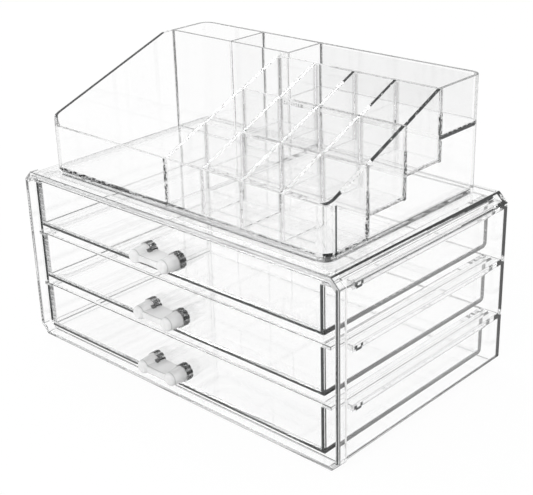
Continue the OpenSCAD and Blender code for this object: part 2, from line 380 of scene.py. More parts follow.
def rounded(low: Point2, high: Point2, radii: Sequence[float], steps: int = 12) -> Outline:
    """Draws a rectangle with its own radius at each corner.

    Args:
        low: lower left corner.
        high: upper right corner.
        radii: radius at lower left, lower right, upper right and upper left.
        steps: straight lines in each round corner.

    Returns:
        The corners in order.
    """
    outline: Outline = []
    corners = [(low[0], low[1]), (high[0], low[1]), (high[0], high[1]), (low[0], high[1])]
    inward = [(1, 1), (-1, 1), (-1, -1), (1, -1)]
    for corner, way, radius, start in zip(corners, inward, radii, (180, 270, 0, 90)):
        if radius <= 0:
            outline.append(corner)
            continue
        middle = (corner[0] + way[0] * radius, corner[1] + way[1] * radius)
        for i in range(steps + 1):
            angle = math.radians(start + 90 * i / steps)
            outline.append((middle[0] + radius * math.cos(angle), middle[1] + radius * math.sin(angle)))
    return outline


def chamfered(half_w: float, low_z: float, high_z: float, size: float) -> Outline:
    """Draws the cabinet's eight-sided section: a rectangle with equal chamfers.

    Args:
        half_w: half of its width.
        low_z: height of its underside.
        high_z: height of its top.
        size: width of a chamfer, measured along a side.

    Returns:
        The corners in order.
    """
    return [
        (-half_w + size, low_z), (half_w - size, low_z), (half_w, low_z + size),
        (half_w, high_z - size), (half_w - size, high_z), (-half_w + size, high_z),
        (-half_w, high_z - size), (-half_w, low_z + size),
    ]  # fmt: skip


def bake(thing: bpy.types.Object) -> bpy.types.Object:
    """Replaces an object's modifiers by the plain mesh that they give.

    Args:
        thing: the object, which keeps its name.

    Returns:
        The same object.
    """
    bpy.context.view_layer.update()
    shown = thing.evaluated_get(bpy.context.evaluated_depsgraph_get())
    mesh = bpy.data.meshes.new_from_object(shown)
    mesh.name = thing.name
    thing.modifiers.clear()
    thing.data = mesh
    return thing


def combine(target: bpy.types.Object, tools: Iterable[bpy.types.Object], cut: Cut) -> bpy.types.Object:
    """Cuts solids out of another, joins them to it, or keeps only what they share.

    Args:
        target: the solid that changes.
        tools: the solids that act on it, which are then removed.
        cut: what they do.

    Returns:
        The target.
    """
    for tool in tools:
        modifier = target.modifiers.new("combine", "BOOLEAN")
        modifier.object = tool
        modifier.operation = cut.value
        modifier.solver = "MANIFOLD"
        bake(target)
        bpy.data.objects.remove(tool)
    return target


@dataclass(frozen=True)
class Zone:
    """A box in millimetres, and how much painted shade the faces inside it get.

    Attributes:
        low: least corner.
        high: greatest corner.
        depth: how strongly the painted shade shows.
        mark: the face attribute that takes it.
        over: True where it also lightens what is darker.
        rims: True where only rounded edges take it.
    """

    low: Point3
    high: Point3
    depth: float = 1.0
    mark: Mark = Mark.SEAM
    over: bool = False
    rims: bool = False


def patch(
    axis: Axis, level: float, first: Span, second: Span, depth: float = 1.0, mark: Mark = Mark.SEAM
) -> Zone:
    """Paints shade on part of a flat face.

    Args:
        axis: the direction that the face looks along.
        level: where the face is on that axis.
        first: least and greatest place on the first of the two other axes.
        second: the same on the second of them.
        depth: how strongly the painted shade shows.
        mark: the face attribute that takes it.

    Returns:
        A zone that is hardly thicker than the face.
    """
    _, a, b = axis.value
    low, high = [level - SKIN] * 3, [level + SKIN] * 3
    (low[a], high[a]), (low[b], high[b]) = first, second
    return Zone((low[0], low[1], low[2]), (high[0], high[1], high[2]), depth, mark)


def rims(low: Point3, high: Point3, depth: float) -> Zone:
    """Sets the painted shade on the rounded edges in a box, also where that makes them paler."""
    return Zone(low, high, depth, Mark.EDGE, over=True, rims=True)


def soften(
    thing: bpy.types.Object,
    outer: float,
    inner: float,
    tones: tuple[float, float],
    seams: Sequence[Zone],
    segments: int = 2,
) -> bpy.types.Object:
    """Rounds every edge a little, as a mould does, paints shade on edges and seams, and sets its normals.

    Args:
        thing: the solid.
        outer: width of the rounding on outer edges, in millimetres.
        inner: width of the fillet in inner corners.
        tones: how much painted shade outer and inner roundings get.
        seams: boxes of painted shade, mostly where a plate ends inside another one.
        segments: faces across the rounding.

    Returns:
        The same object with a plain mesh and two attributes of painted shade for its material.
    """
    widest = max(outer, inner)
    in_line, edge_turn = math.radians(0.5), math.radians(18)
    with editing(thing.data) as shape:
        bmesh.ops.remove_doubles(shape, verts=shape.verts, dist=1e-6)
        # Faces of one wall become one face, so that only true edges are rounded.
        bmesh.ops.dissolve_limit(shape, angle_limit=in_line, verts=shape.verts, edges=shape.edges)
        weight = shape.edges.layers.float.new("bevel_weight_edge")
        for edge in shape.edges:
            turn = edge.calc_face_angle_signed(0.0)
            if abs(turn) > edge_turn:
                edge[weight] = (outer if turn > 0 else inner) / widest
    thing.data.materials.clear()
    modifier = thing.modifiers.new("soften", "BEVEL")
    modifier.width = widest * MM
    modifier.segments = segments
    modifier.limit_method = "WEIGHT"
    # The second material slot tells the roundings from the faces until they are marked.
    modifier.material = 1
    for _ in range(2):
        thing.data.materials.append(None)
    bake(thing)
    with editing(thing.data) as shape:
        for mark in Mark:
            shape.faces.layers.float.new(mark.value)
        edge_mark = shape.faces.layers.float[Mark.EDGE.value]
        for face in shape.faces:
            if face.material_index:
                turn = sum(edge.calc_face_angle_signed(0.0) for edge in face.edges)
                face[edge_mark] = tones[0] if turn > 0 else tones[1]
        for zone in seams:
            split(shape, zone)
    return shade(thing)


def split(shape: bmesh.types.BMesh, zone: Zone) -> None:
    """Cuts the faces that cross a zone along its sides and paints the zone's shade on those inside it.

    Args:
        shape: the mesh.
        zone: the box, its depth and the layer that takes it.
    """
    rim, layer = (shape.faces.layers.float[mark.value] for mark in (Mark.EDGE, zone.mark))
    low, high = Vector(zone.low) * MM, Vector(zone.high) * MM
    slack = 1e-6

    def reaches(face: bmesh.types.BMFace) -> bool:
        """Tells whether a face may be cut by the zone.

        Args:
            face: a face of the mesh.

        Returns:
            True if the box round the face meets the zone.
        """
        return all(
            max(v.co[i] for v in face.verts) > low[i] - slack
            and min(v.co[i] for v in face.verts) < high[i] + slack
            for i in range(3)
        )

    for axis in range(3):
        for level in (low[axis], high[axis]):
            faces = [face for face in shape.faces if reaches(face)]
            parts = set(faces)
            for face in faces:
                parts.update(face.edges)
                parts.update(face.verts)
            normal = Vector([float(i == axis) for i in range(3)])
            bmesh.ops.bisect_plane(
                shape, geom=list(parts), dist=1e-7, plane_co=normal * level, plane_no=normal
            )
    for face in shape.faces:
        middle = face.calc_center_median()
        if zone.rims and not face[rim]:
            continue
        if all(low[i] - slack < middle[i] < high[i] + slack for i in range(3)):
            face[layer] = zone.depth if zone.over else max(face[layer], zone.depth)


def shade(thing: bpy.types.Object) -> bpy.types.Object:
    """Shades curves and roundings smooth, and leaves flat faces exactly flat.

    Args:
        thing: the solid, in its final shape.

    Returns:
        The same object, with corner normals that follow the faces and not their roundings.
    """
    normals = []
    with editing(thing.data) as shape:
        rounding = {face for face in shape.faces if face.material_index}
        for face in shape.faces:
            for corner in face.loops:
                around = corner.vert.link_faces
                near = [other for other in around if other.normal.angle(face.normal, 0.0) < SHARP]
                lead = [other for other in near if other not in rounding] or near
                total = sum((other.normal * other.calc_area() for other in lead), Vector())
                normals.append(total.normalized())
        for face in shape.faces:
            face.smooth = True
            face.material_index = 0
        for edge in shape.edges:
            edge.smooth = edge.is_manifold and edge.calc_face_angle() < SHARP
    thing.data.normals_split_custom_set(normals)
    return thing


# ---- Geometry Nodes -------------------------------------------------------------------------

Builder = Callable[[bpy.types.NodeTree, bpy.types.Node], bpy.types.NodeSocket]

SOCKETS = {
    float: "NodeSocketFloat",
    int: "NodeSocketInt",
    tuple: "NodeSocketVector",
    bpy.types.Object: "NodeSocketObject",
    bpy.types.Material: "NodeSocketMaterial",
}


@dataclass
class Recipe:
    """A Geometry Nodes tree with named inputs, and the step that turns it into a plain mesh.

    Attributes:
        name: name of the tree.
        sizes: value of each named input, in metres for lengths.
        build: adds the nodes and returns the geometry that they make.
    """

    name: str
    sizes: dict[str, float | int | tuple | bpy.types.Object]
    build: Builder

    def grow(self, thing: bpy.types.Object, material: bpy.types.Material) -> bpy.types.Object:
        """Runs the tree on an object and keeps the result as its mesh.

        Args:
            thing: the object whose mesh goes in.
            material: the material that the tree sets.

        Returns:
            The same object, with a plain mesh and no modifier.
        """
        tree = bpy.data.node_groups.new(self.name, "GeometryNodeTree")
        face = tree.interface
        face.new_socket(name="Geometry", in_out="INPUT", socket_type="NodeSocketGeometry")
        face.new_socket(name="Geometry", in_out="OUTPUT", socket_type="NodeSocketGeometry")
        values = dict(self.sizes, Material=material)
        keys = {}
        for label, value in values.items():
            kind = next(socket for base, socket in SOCKETS.items() if isinstance(value, base))
            keys[label] = face.new_socket(name=label, in_out="INPUT", socket_type=kind).identifier
        entry = add(tree, "NodeGroupInput")
        made = self.build(tree, entry)
        plain = add(tree, "GeometryNodeRealizeInstances", {"Geometry": made})
        dressed = add(
            tree,
            "GeometryNodeSetMaterial",
            {"Geometry": plain.outputs["Geometry"], "Material": entry.outputs["Material"]},
        )
        add(tree, "NodeGroupOutput", {"Geometry": dressed.outputs["Geometry"]})
        modifier = thing.modifiers.new(self.name, "NODES")
        modifier.node_group = tree
        for label, value in values.items():
            modifier[keys[label]] = value
        return bake(thing)


def pocket_grid(tree: bpy.types.NodeTree, entry: bpy.types.Node) -> bpy.types.NodeSocket:
    """Sets a pocket on each point of a grid, each row higher than the one before it.

    Args:
        tree: the tree that gets the nodes.
        entry: its input node, with the columns, rows, pitches, first place, rise and pocket.

    Returns:
        The pockets as instances.
    """
    sizes = entry.outputs
    spans = []
    for count, pitch in (("Columns", "Column Pitch"), ("Rows", "Row Pitch")):
        gaps = add(tree, "ShaderNodeMath", {0: sizes[count], 1: 1.0}, operation="SUBTRACT")
        span = add(tree, "ShaderNodeMath", {0: gaps.outputs[0], 1: sizes[pitch]}, operation="MULTIPLY")
        spans.append(span.outputs[0])
    counts = {"Vertices X": sizes["Columns"], "Vertices Y": sizes["Rows"]}
    grid = add(tree, "GeometryNodeMeshGrid", {"Size X": spans[0], "Size Y": spans[1], **counts})
    here = add(tree, "ShaderNodeSeparateXYZ", {0: add(tree, "GeometryNodeInputPosition").outputs[0]})
    row = add(tree, "ShaderNodeMath", {0: here.outputs["Y"], 1: sizes["Row Pitch"]}, operation="DIVIDE")
    climb = add(tree, "ShaderNodeMath", {0: row.outputs[0], 1: sizes["Rise"]}, operation="MULTIPLY")
    lift = add(tree, "ShaderNodeCombineXYZ", {"Z": climb.outputs[0]})
    raised = add(
        tree, "GeometryNodeSetPosition", {"Geometry": grid.outputs["Mesh"], "Offset": lift.outputs[0]}
    )
    placed = add(
        tree,
        "GeometryNodeTransform",
        {"Geometry": raised.outputs[0], "Translation": sizes["Middle"]},
    )
    pocket = add(tree, "GeometryNodeObjectInfo", {"Object": sizes["Pocket"]})
    return add(
        tree,
        "GeometryNodeInstanceOnPoints",
        {"Points": placed.outputs[0], "Instance": pocket.outputs["Geometry"]},
    ).outputs["Instances"]


def ledge_ladder(tree: bpy.types.NodeTree, entry: bpy.types.Node) -> bpy.types.NodeSocket:
    """Repeats the input ledge down one wall of the cabinet and mirrors the set to the other.

    Args:
        tree: the tree that gets the nodes.
        entry: its input node, with the number of bays and their pitch.

    Returns:
        Both sets of ledges.
    """
    drop = add(tree, "ShaderNodeMath", {0: 0.0, 1: entry.outputs["Bay Pitch"]}, operation="SUBTRACT")
    step = add(tree, "ShaderNodeCombineXYZ", {"Z": drop.outputs[0]})
    line = add(
        tree,
        "GeometryNodeMeshLine",
        {"Count": entry.outputs["Bays"], "Offset": step.outputs[0]},
    )
    one_side = add(
        tree,
        "GeometryNodeInstanceOnPoints",
        {"Points": line.outputs["Mesh"], "Instance": entry.outputs["Geometry"]},
    )
    solid = add(tree, "GeometryNodeRealizeInstances", {"Geometry": one_side.outputs[0]})
    mirror = add(
        tree, "GeometryNodeTransform", {"Geometry": solid.outputs[0], "Scale": (-1.0, 1.0, 1.0)}
    )
    outward = add(tree, "GeometryNodeFlipFaces", {"Mesh": mirror.outputs[0]})
    both = add(tree, "GeometryNodeJoinGeometry")
    tree.links.new(solid.outputs[0], both.inputs[0])
    tree.links.new(outward.outputs[0], both.inputs[0])
    return both.outputs[0]


def rib_ring(tree: bpy.types.NodeTree, entry: bpy.types.Node) -> bpy.types.NodeSocket:
    """Repeats the input rib round a stud's axis.

    Args:
        tree: the tree that gets the nodes.
        entry: its input node, with the number of ribs.

    Returns:
        The ring of ribs.
    """
    sizes = entry.outputs
    line = add(tree, "GeometryNodeMeshLine", {"Count": sizes["Ribs"], "Offset": (0.0, 0.0, 0.0)})
    turn = add(tree, "ShaderNodeMath", {0: 2 * math.pi, 1: sizes["Ribs"]}, operation="DIVIDE")
    index = add(tree, "GeometryNodeInputIndex")
    angle = add(tree, "ShaderNodeMath", {0: index.outputs[0], 1: turn.outputs[0]}, operation="MULTIPLY")
    spin = add(tree, "ShaderNodeCombineXYZ", {"Y": angle.outputs[0]})
    return add(
        tree,
        "GeometryNodeInstanceOnPoints",
        {"Points": line.outputs["Mesh"], "Instance": sizes["Geometry"], "Rotation": spin.outputs[0]},
    ).outputs["Instances"]


# ---- sub-assemblies -------------------------------------------------------------------------


@dataclass
class Moulding:
    """What every sub-assembly shares, and how it is handed over.

    Attributes:
        body: the body of the frame that its pieces ride.
        slot: the material slot of the record that its looks stand for; not used.
        finish: its material.
    """

    body: str
    slot: str
    finish: ClearPlastic

    def hand_over(self, thing: bpy.types.Object, nodes: Sequence[str]) -> None:
        """Gives a finished piece to the frame in place of CAD nodes.

        Args:
            thing: the finished piece.
            nodes: the CAD nodes that it stands for.
        """
        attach(thing, self.body)
        if nodes:
            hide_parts(*nodes)
        LOG.info("%s rides %s: %d faces", thing.name, self.body, len(thing.data.polygons))

    def dress(self, thing: bpy.types.Object) -> bpy.types.Material:
        """Puts the moulding's finish on a piece.

        Args:
            thing: the piece, which loses any other material.

        Returns:
            The material, made once for each finish.
        """
        material = bpy.data.materials.get(self.finish.name) or self.finish.make()
        thing.data.materials.clear()
        thing.data.materials.append(material)
        return material


@dataclass
class Cabinet(Moulding):
    """The box round the drawers: a case with ledges and a locating plate, and a front frame.

    Attributes:
        wall: thickness of the case.
        chamfer: width of the four long chamfers.
        plate_r: corner radius of the plate that the tray stands round.
        ledge_lead: length of the taper at a ledge's front.
        bays: number of drawers.
        edge_r: rounding of outer edges.
        fillet_r: fillet of inner corners.
        bite: how far a joined solid is sunk into its neighbour.
        case_tones: how much painted shade outer and inner roundings of the case get.
        frame_tones: the same for the front frame.
        cup: spans on Y and Z, from a ledge's front and underside, of the dark cup painted over its taper.
        crease_steps: number of steps in the painted dark line along an upper corner.
        crease_start: distance from the front to the first step.
        crease_step: length of a step.
        crease_w: width of the line at the first step.
        crease_growth: what each step adds to that width.
        crease_over, crease_drop: how far the line reaches over the flat top and down the chamfer.
        crease_end: distance from the rear to the line's end.
        inner_tone: painted shade on the roundings inside the case.
        inner_inset: how far inside the case's outer faces those lie.
        wall_reach: how far their marks reach into the side walls.
        pale: painted shade on the roundings that should hardly show.
        mouth_l: length on Y of the roundings at the case's mouth and at the frame's rear.
        lip: width and depth of the painted dark lip at the left of the case's mouth.
        post_w, post_inset: width of the painted dark line on the frame's right post, and air beside its
            grey.
        sill, sill_tone: lowest and highest point of the painted grey sill, and how dark it is.
        sill_start: spans on X and Z of its dark start at the left.
        lintel_w: width of the painted dark line over the mouth.
        joint_w: width of the joint between the frame and the case.
    """

    body: str = "cabinet"
    slot: str = "clear_cabinet"
    finish: ClearPlastic = CABINET_FINISH
    wall: float = 2.2
    chamfer: float = 5.5
    plate_r: float = 4.3
    ledge_lead: float = 6.0
    bays: int = 3
    edge_r: float = 0.4
    fillet_r: float = 0.5
    bite: float = 0.8
    case_tones: tuple[float, float] = (0.9, 0.15)
    frame_tones: tuple[float, float] = (0.9, 0.0)
    cup: tuple[tuple[Span, Span], ...] = (
        ((0.0, 2.2), (1.2, 3.0)), ((4.8, 6.6), (1.2, 3.0)), ((1.2, 5.6), (0.0, 1.4)),
    )  # fmt: skip
    crease_steps: int = 8
    crease_start: float = 26.0
    crease_step: float = 11.0
    crease_w: float = 0.3
    crease_growth: float = 0.14
    crease_over: float = 0.4
    crease_drop: float = 3.0
    crease_end: float = 8.0
    inner_tone: float = 0.12
    inner_inset: float = 1.5
    wall_reach: float = 0.2
    pale: float = 0.1
    mouth_l: float = 0.8
    lip: Span = (0.4, 1.3)
    post_w: float = 1.1
    post_inset: float = 0.2
    sill: Span = (0.4, 2.0)
    sill_tone: float = 0.3
    sill_start: tuple[Span, Span] = ((3.5, 13.5), (0.2, 1.4))
    lintel_w: float = 0.4
    joint_w: float = 0.45

    def inner_chamfer(self) -> float:
        """Chamfer of the bore, which keeps the wall's thickness across the corner."""
        return self.chamfer - self.wall * (2 - math.sqrt(2))

    def bore(self, shell: Extent, low: float, high: float) -> bpy.types.Object:
        """Makes the room inside the case.

        Args:
            shell: the case's extent.
            low: where the room starts on Y.
            high: where it ends.

        Returns:
            A closed solid.
        """
        half_w, ceiling = shell.high.x - self.wall, shell.high.z - self.wall
        outline = chamfered(half_w, shell.low.z + self.wall, ceiling, self.inner_chamfer())
        return prism("bore", outline, Axis.Y, low, high)

    def ledges(self, shell: Extent) -> bpy.types.Object:
        """Makes the six ledges that carry the drawers, each sunk a little into its wall.

        Args:
            shell: the case's extent.

        Returns:
            One object with all the ledges.
        """
        top = Extent.of("runner_right_top")
        below = Extent.of("runner_right_mid")
        into = shell.high.x - self.wall + self.bite
        outline = [
            (into, top.low.y), (into, top.high.y + self.bite), (below.low.x, top.high.y + self.bite),
            (below.low.x, top.low.y + self.ledge_lead), ((below.low.x + below.high.x) / 2, top.low.y),
        ]  # fmt: skip
        ledge = prism("ledges", outline, Axis.Z, top.low.z, top.high.z)
        sizes = {"Bays": self.bays, "Bay Pitch": (top.high.z - below.high.z) * MM}
        Recipe("ledge ladder", sizes, ledge_ladder).grow(ledge, self.dress(ledge))
        depth = self.wall - self.bite
        skin = chamfered(into, shell.low.z + depth, shell.high.z - depth, self.inner_chamfer())
        return combine(ledge, [prism("skin", skin, Axis.Y, shell.low.y, shell.high.y)], Cut.TRIM)

    def case_seams(self, shell: Extent) -> list[Zone]:
        """Lists the painted shade on the case.

        Args:
            shell: the case's extent.

        Returns:
            Painted shade: pale edges inside and at the front, a dark left lip, a dark cup at the front of
            each right ledge, and a line along both upper corners that widens to the rear.
        """
        inside, front, top = shell.high.x - self.wall + self.wall_reach, shell.low.y, shell.high.z
        floor, rear, mouth = shell.low.z + self.inner_inset, shell.high.y - 1, front + self.mouth_l
        room = (-inside, front - AIR, floor), (inside, rear, top - self.inner_inset)
        edge = (-shell.high.x - AIR, front - SKIN, 0), (shell.high.x + AIR, mouth, top + AIR)
        lip = (-inside + self.lip[0], front + self.lip[1], top - self.chamfer)
        zones = [
            rims(*room, self.inner_tone),
            rims(*edge, self.pale),
            Zone((-inside, front - SKIN, self.chamfer), lip),
        ]
        # Painted shade: a small dark cup on the right wall, where the tapered end of a ledge shows
        # through.
        for level in LEVELS:
            tip = Extent.of(f"runner_right_{level}").low
            for (near, far), (low, high) in self.cup:
                along, up = (tip.y + near, tip.y + far), (tip.z + low, tip.z + high)
                zones.append(patch(Axis.X, shell.high.x, along, up))
        # Painted shade: a dark line along both upper corners, which widens step by step to the rear.
        crease, end = shell.high.x - self.chamfer, shell.high.y - self.crease_end
        for side in Side:
            for step in range(self.crease_steps):
                start = front + self.crease_start + self.crease_step * step
                width = self.crease_w + self.crease_growth * step
                edges = (side.value * (crease - self.crease_over), side.value * (crease + width))
                low, high = (min(edges), start, top - self.crease_drop), (max(edges), end, top + SKIN)
                zones.append(Zone(low, high))
        return zones

    def frame_seams(self, ring: Extent) -> list[Zone]:
        """Lists the painted shade on the front frame, and its joint with the case.

        Args:
            ring: the frame's extent.

        Returns:
            Painted shade on pale edges round the mouth and at the rear, a dark right post, a grey sill,
            a line over the mouth and a grey upper left corner; and the dark joint with the case.
        """
        front, back, right, top = ring.low.y, ring.high.y, ring.high.x, ring.high.z
        cut, mouth, post = self.chamfer, ring.high.z - self.wall, ring.high.x - self.wall
        wide, tall = (-right + cut, right - cut), (cut, top - cut)
        near, far, inset = front - AIR, back + AIR, 1.0
        (start, end), rise = self.sill_start
        return [
            rims((wide[0], near, inset), (wide[1], far, top - inset), self.pale),
            rims((-right + inset, near, cut), (right - inset, far, top - cut), self.pale),
            rims((-right - AIR, back - self.mouth_l, -AIR), (right + AIR, far, top + AIR), self.pale),
            patch(Axis.Y, front, (right - cut, right - self.post_inset), (0, top), depth=0.35),
            patch(Axis.Y, front, (post, post + self.post_w), tall),
            patch(Axis.Y, front, wide, self.sill, self.sill_tone),
            patch(Axis.Y, front, (-right + start, -right + end), rise, depth=0.9),
            patch(Axis.Y, front, wide, (mouth, mouth + self.lintel_w), depth=0.6),
            patch(Axis.X, right, (back - self.joint_w, back), tall),
            patch(Axis.Y, front, (-right - SKIN, -right + cut), (top - cut, top + SKIN), depth=0.7),
        ]

    def case(self) -> None:
        """Builds the case in one piece with its back, its ledges and the plate under the tray."""
        shell = Extent.of("case_shell")
        back = Extent.of("back_panel")
        plate = Extent.of("top_plinth")
        outline = chamfered(shell.high.x, shell.low.z, shell.high.z, self.chamfer)
        case = prism("cabinet_case", outline, Axis.Y, shell.low.y, shell.high.y)
        combine(case, [self.bore(shell, shell.low.y - PAST, back.low.y)], Cut.REMOVE)
        raised = rounded(*plate.plan(), [self.plate_r] * 4)
        joined = [
            prism("plate", raised, Axis.Z, shell.high.z - self.bite, plate.high.z),
            self.ledges(shell),
        ]
        combine(case, joined, Cut.JOIN)
        soften(case, self.edge_r, self.fillet_r, self.case_tones, self.case_seams(shell))
        self.dress(case)
        ledges = [f"runner_{side.name.lower()}_{level}" for side in Side for level in LEVELS]
        self.hand_over(case, ["case_shell", "back_panel", "top_plinth", *ledges])

    def front_frame(self) -> None:
        """Builds the frame round the mouth."""
        ring = Extent.of("front_frame")
        shell = Extent.of("case_shell")
        outline = chamfered(ring.high.x, ring.low.z, ring.high.z, self.chamfer)
        front = prism("cabinet_front_frame", outline, Axis.Y, ring.low.y, ring.high.y)
        combine(front, [self.bore(shell, ring.low.y - PAST, ring.high.y + PAST)], Cut.REMOVE)
        soften(front, self.edge_r, self.fillet_r, self.frame_tones, self.frame_seams(ring))
        self.dress(front)
        self.hand_over(front, ["front_frame"])

    def build(self) -> None:
        """Builds the whole cabinet."""
        self.case()
        self.front_frame()


@dataclass
class Handle(Moulding):
    """A pair of studs joined by a web, with ribbed collars against the drawer's front.

    Attributes:
        collar_finish: finish of the collars.
        node: the CAD node that the handle stands for.
        spacing: distance between the studs' axes.
        collar_d, collar_l: diameter and length of a collar.
        stud_d, tip_d: diameter of a stud at its collar and where its dome starts.
        tip_r: radius of the dome's edge.
        web_t: height of the web at the studs.
        web_gap, web_inset: air between the web and the drawer, and between its front and the tips.
        web_waist: how much thinner the web is in the middle, above and below.
        neck: length of a stud's straight start beyond its collar.
        lap: how far joined solids reach into each other.
        rib_count, rib_depth: number of ribs round a collar, and their height.
        rib_share: part of its pitch that a rib's foot covers.
        rib_taper: half width of a rib's crest, as a part of its foot.
        crest_facing: how squarely a face looks outward to count as a crest, from 0 to 1.
        inside: how far the crests stay inside the CAD collar.
        break_w: width of the broken edge at a collar's ends.
        groove_tone: painted shade on the faces between crests; the crests get it in full.
        ring: span of the grey ring of painted shade at a dome, from the dome's start.
        corner: spans of the painted shade by the left collar, from the left axis, the collar's end and
            the axis' height.
        line_x, line_h: span of the painted shade under the right stud, from the right axis, and its
            height.
        edge_r, fillet_r: rounding of outer edges and of inner corners.
        tones: how much painted shade those two get.
        turns, dome_steps, web_steps: straight lines in a full circle, a dome and the web's waist.
    """

    body: str = ""
    slot: str = "clear_handle"
    finish: ClearPlastic = HANDLE_FINISH
    collar_finish: ClearPlastic = COLLAR_FINISH
    node: str = ""
    spacing: float = 21.6
    collar_d: float = 10.2
    collar_l: float = 4.8
    stud_d: float = 9.0
    tip_d: float = 7.8
    tip_r: float = 2.2
    web_t: float = 4.2
    web_gap: float = 1.2
    web_inset: float = 1.2
    web_waist: float = 0.6
    web_steps: int = 16
    neck: float = 0.3
    lap: float = 0.4
    rib_count: int = 10
    rib_depth: float = 0.55
    rib_share: float = 0.8
    rib_taper: float = 0.34
    crest_facing: float = 0.8
    inside: float = 0.1
    break_w: float = 0.2
    groove_tone: float = 0.15
    ring: Span = (-0.1, 0.5)
    corner: tuple[Span, Span, Span] = ((2.6, 5.4), (-0.5, 2.2), (-3.0, 3.0))
    line_x: Span = (1.0, 3.4)
    line_h: float = 1.2
    turns: int = 48
    dome_steps: int = 6
    edge_r: float = 0.25
    fillet_r: float = 0.4
    tones: tuple[float, float] = (0.5, 0.7)

    def lathe(self, name: str, profile: Outline, middle: Vector) -> bpy.types.Object:
        """Turns a profile round an axis along -Y.

        Args:
            name: name of the object.
            profile: radius and distance from the drawer's face, starting and ending on the axis.
            middle: where the axis meets the drawer's face.

        Returns:
            A closed solid.
        """
        points: list[Point3] = []
        ring: list[list[int]] = []
        for radius, out in profile:
            if radius <= 0:
                points.append((middle.x, middle.y - out, middle.z))
                ring.append([len(points) - 1] * self.turns)
                continue
            ring.append(list(range(len(points), len(points) + self.turns)))
            for i in range(self.turns):
                angle = 2 * math.pi * i / self.turns
                x, z = radius * math.cos(angle), radius * math.sin(angle)
                points.append((middle.x + x, middle.y - out, middle.z + z))
        faces: list[list[int]] = []
        for low, high in zip(ring, ring[1:]):
            for i in range(self.turns):
                j = (i + 1) % self.turns
                corners = dict.fromkeys([low[i], low[j], high[j], high[i]])
                faces.append(list(corners))
        return mesh_object(name, points, faces)

    def studs(self, middle: Vector, reach: float) -> list[bpy.types.Object]:
        """Makes both studs beyond their collars, with domed tips.

        Args:
            middle: the point on the drawer's face between the studs.
            reach: distance from the face to the tips.

        Returns:
            The two solids.
        """
        tip, root = self.tip_d / 2, self.collar_l - self.lap
        profile = [(0.0, root), (self.stud_d / 2, root), (self.stud_d / 2, self.collar_l + self.neck)]
        for i in range(self.dome_steps + 1):
            angle = math.radians(90 * i / self.dome_steps)
            inward, back = self.tip_r * (1 - math.cos(angle)), self.tip_r * (1 - math.sin(angle))
            profile.append((tip - inward, reach - back))
        profile.append((0.0, reach))
        return [
            self.lathe("stud", profile, middle + Vector((side.value * self.spacing / 2, 0, 0)))
            for side in Side
        ]

    def web(self, middle: Vector, reach: float) -> bpy.types.Object:
        """Makes the flat web between the studs, waisted above and below for the fingertips.

        Args:
            middle: the point on the drawer's face between the studs.
            reach: distance from the face to the tips.

        Returns:
            A closed solid.
        """
        half, upper = self.spacing / 2, []
        for i in range(self.web_steps + 1):
            part = 1 - 2 * i / self.web_steps
            upper.append((half * part, self.web_t / 2 - self.web_waist * math.cos(math.pi / 2 * part)))
        outline = [(middle.x - x, middle.z - z) for x, z in upper]
        outline += [(middle.x + x, middle.z + z) for x, z in upper]
        low, high = middle.y - reach + self.web_inset, middle.y - self.web_gap
        return prism("web", outline, Axis.Y, low, high)

    def seams(self, middle: Vector, reach: float) -> list[Zone]:
        """Lists the painted shade on the grip.

        Args:
            middle: the point on the drawer's face between the studs.
            reach: distance from the face to the tips.

        Returns:
            A grey ring where each dome starts, painted shade by the left collar, and painted shade under
            the right stud.
        """
        half, tip, dome = self.spacing / 2, self.tip_d / 2, reach - self.tip_r
        edge, collar, (line, line_end) = tip + AIR, self.collar_l, self.line_x
        near, far = zip(*self.corner)
        boxes = [
            ((-half - edge, dome + self.ring[0], -edge), (half + edge, dome + self.ring[1], edge), 0.35),
            ((near[0] - half, near[1] + collar, near[2]), (far[0] - half, far[1] + collar, far[2]), 0.8),
            ((half + line, collar, -edge), (half + line_end, dome - 1, -tip + self.line_h), 0.8),
        ]
        return [
            Zone(
                (middle.x + low[0], middle.y - high[1], middle.z + low[2]),
                (middle.x + high[0], middle.y - low[1], middle.z + high[2]),
                depth,
            )
            for low, high, depth in boxes
        ]

    def collar(self, side: Side, middle: Vector) -> bpy.types.Object:
        """Makes one collar with its ring of ribs, and paints shade on them.

        Args:
            side: left or right stud.
            middle: the point on the drawer's face between the studs.

        Returns:
            The collar, finished.
        """
        core, crest = self.collar_d / 2 - self.rib_depth, self.collar_d / 2 - self.inside
        rib_w = math.pi * self.collar_d / self.rib_count * self.rib_share
        foot, top = rib_w / 2, rib_w * self.rib_taper
        outline = [(-foot, core - self.lap), (foot, core - self.lap), (top, crest), (-top, crest)]
        name = f"{self.body}_collar_{side.name.lower()}"
        rib = prism(name, outline, Axis.Y, -self.collar_l + self.break_w, -self.break_w)
        material = bpy.data.materials.get(self.collar_finish.name) or self.collar_finish.make()
        Recipe("rib ring", {"Ribs": self.rib_count}, rib_ring).grow(rib, material)
        centre = middle + Vector((side.value * self.spacing / 2, 0, 0))
        rib.data.transform(Matrix.Translation(centre * MM))
        profile = [(0.0, 0.0), (core - self.break_w, 0.0), (core, self.break_w)]
        profile += [(radius, self.collar_l - out) for radius, out in reversed(profile)]
        combine(rib, [self.lathe("core", profile, centre)], Cut.JOIN)
        shade(rib)
        # Painted shade: the outward faces of the rib crests are near black, the rest a little grey.
        mark = rib.data.attributes.new(Mark.EDGE.value, "FLOAT", "FACE")
        for face in rib.data.polygons:
            spoke = face.center - centre * MM
            spoke.y = 0
            outer = spoke.length > (core + self.break_w) * MM
            dark = outer and spoke.normalized().dot(face.normal) > self.crest_facing
            mark.data[face.index].value = 1.0 if dark else self.groove_tone
        rib.data.materials.clear()
        rib.data.materials.append(material)
        return rib

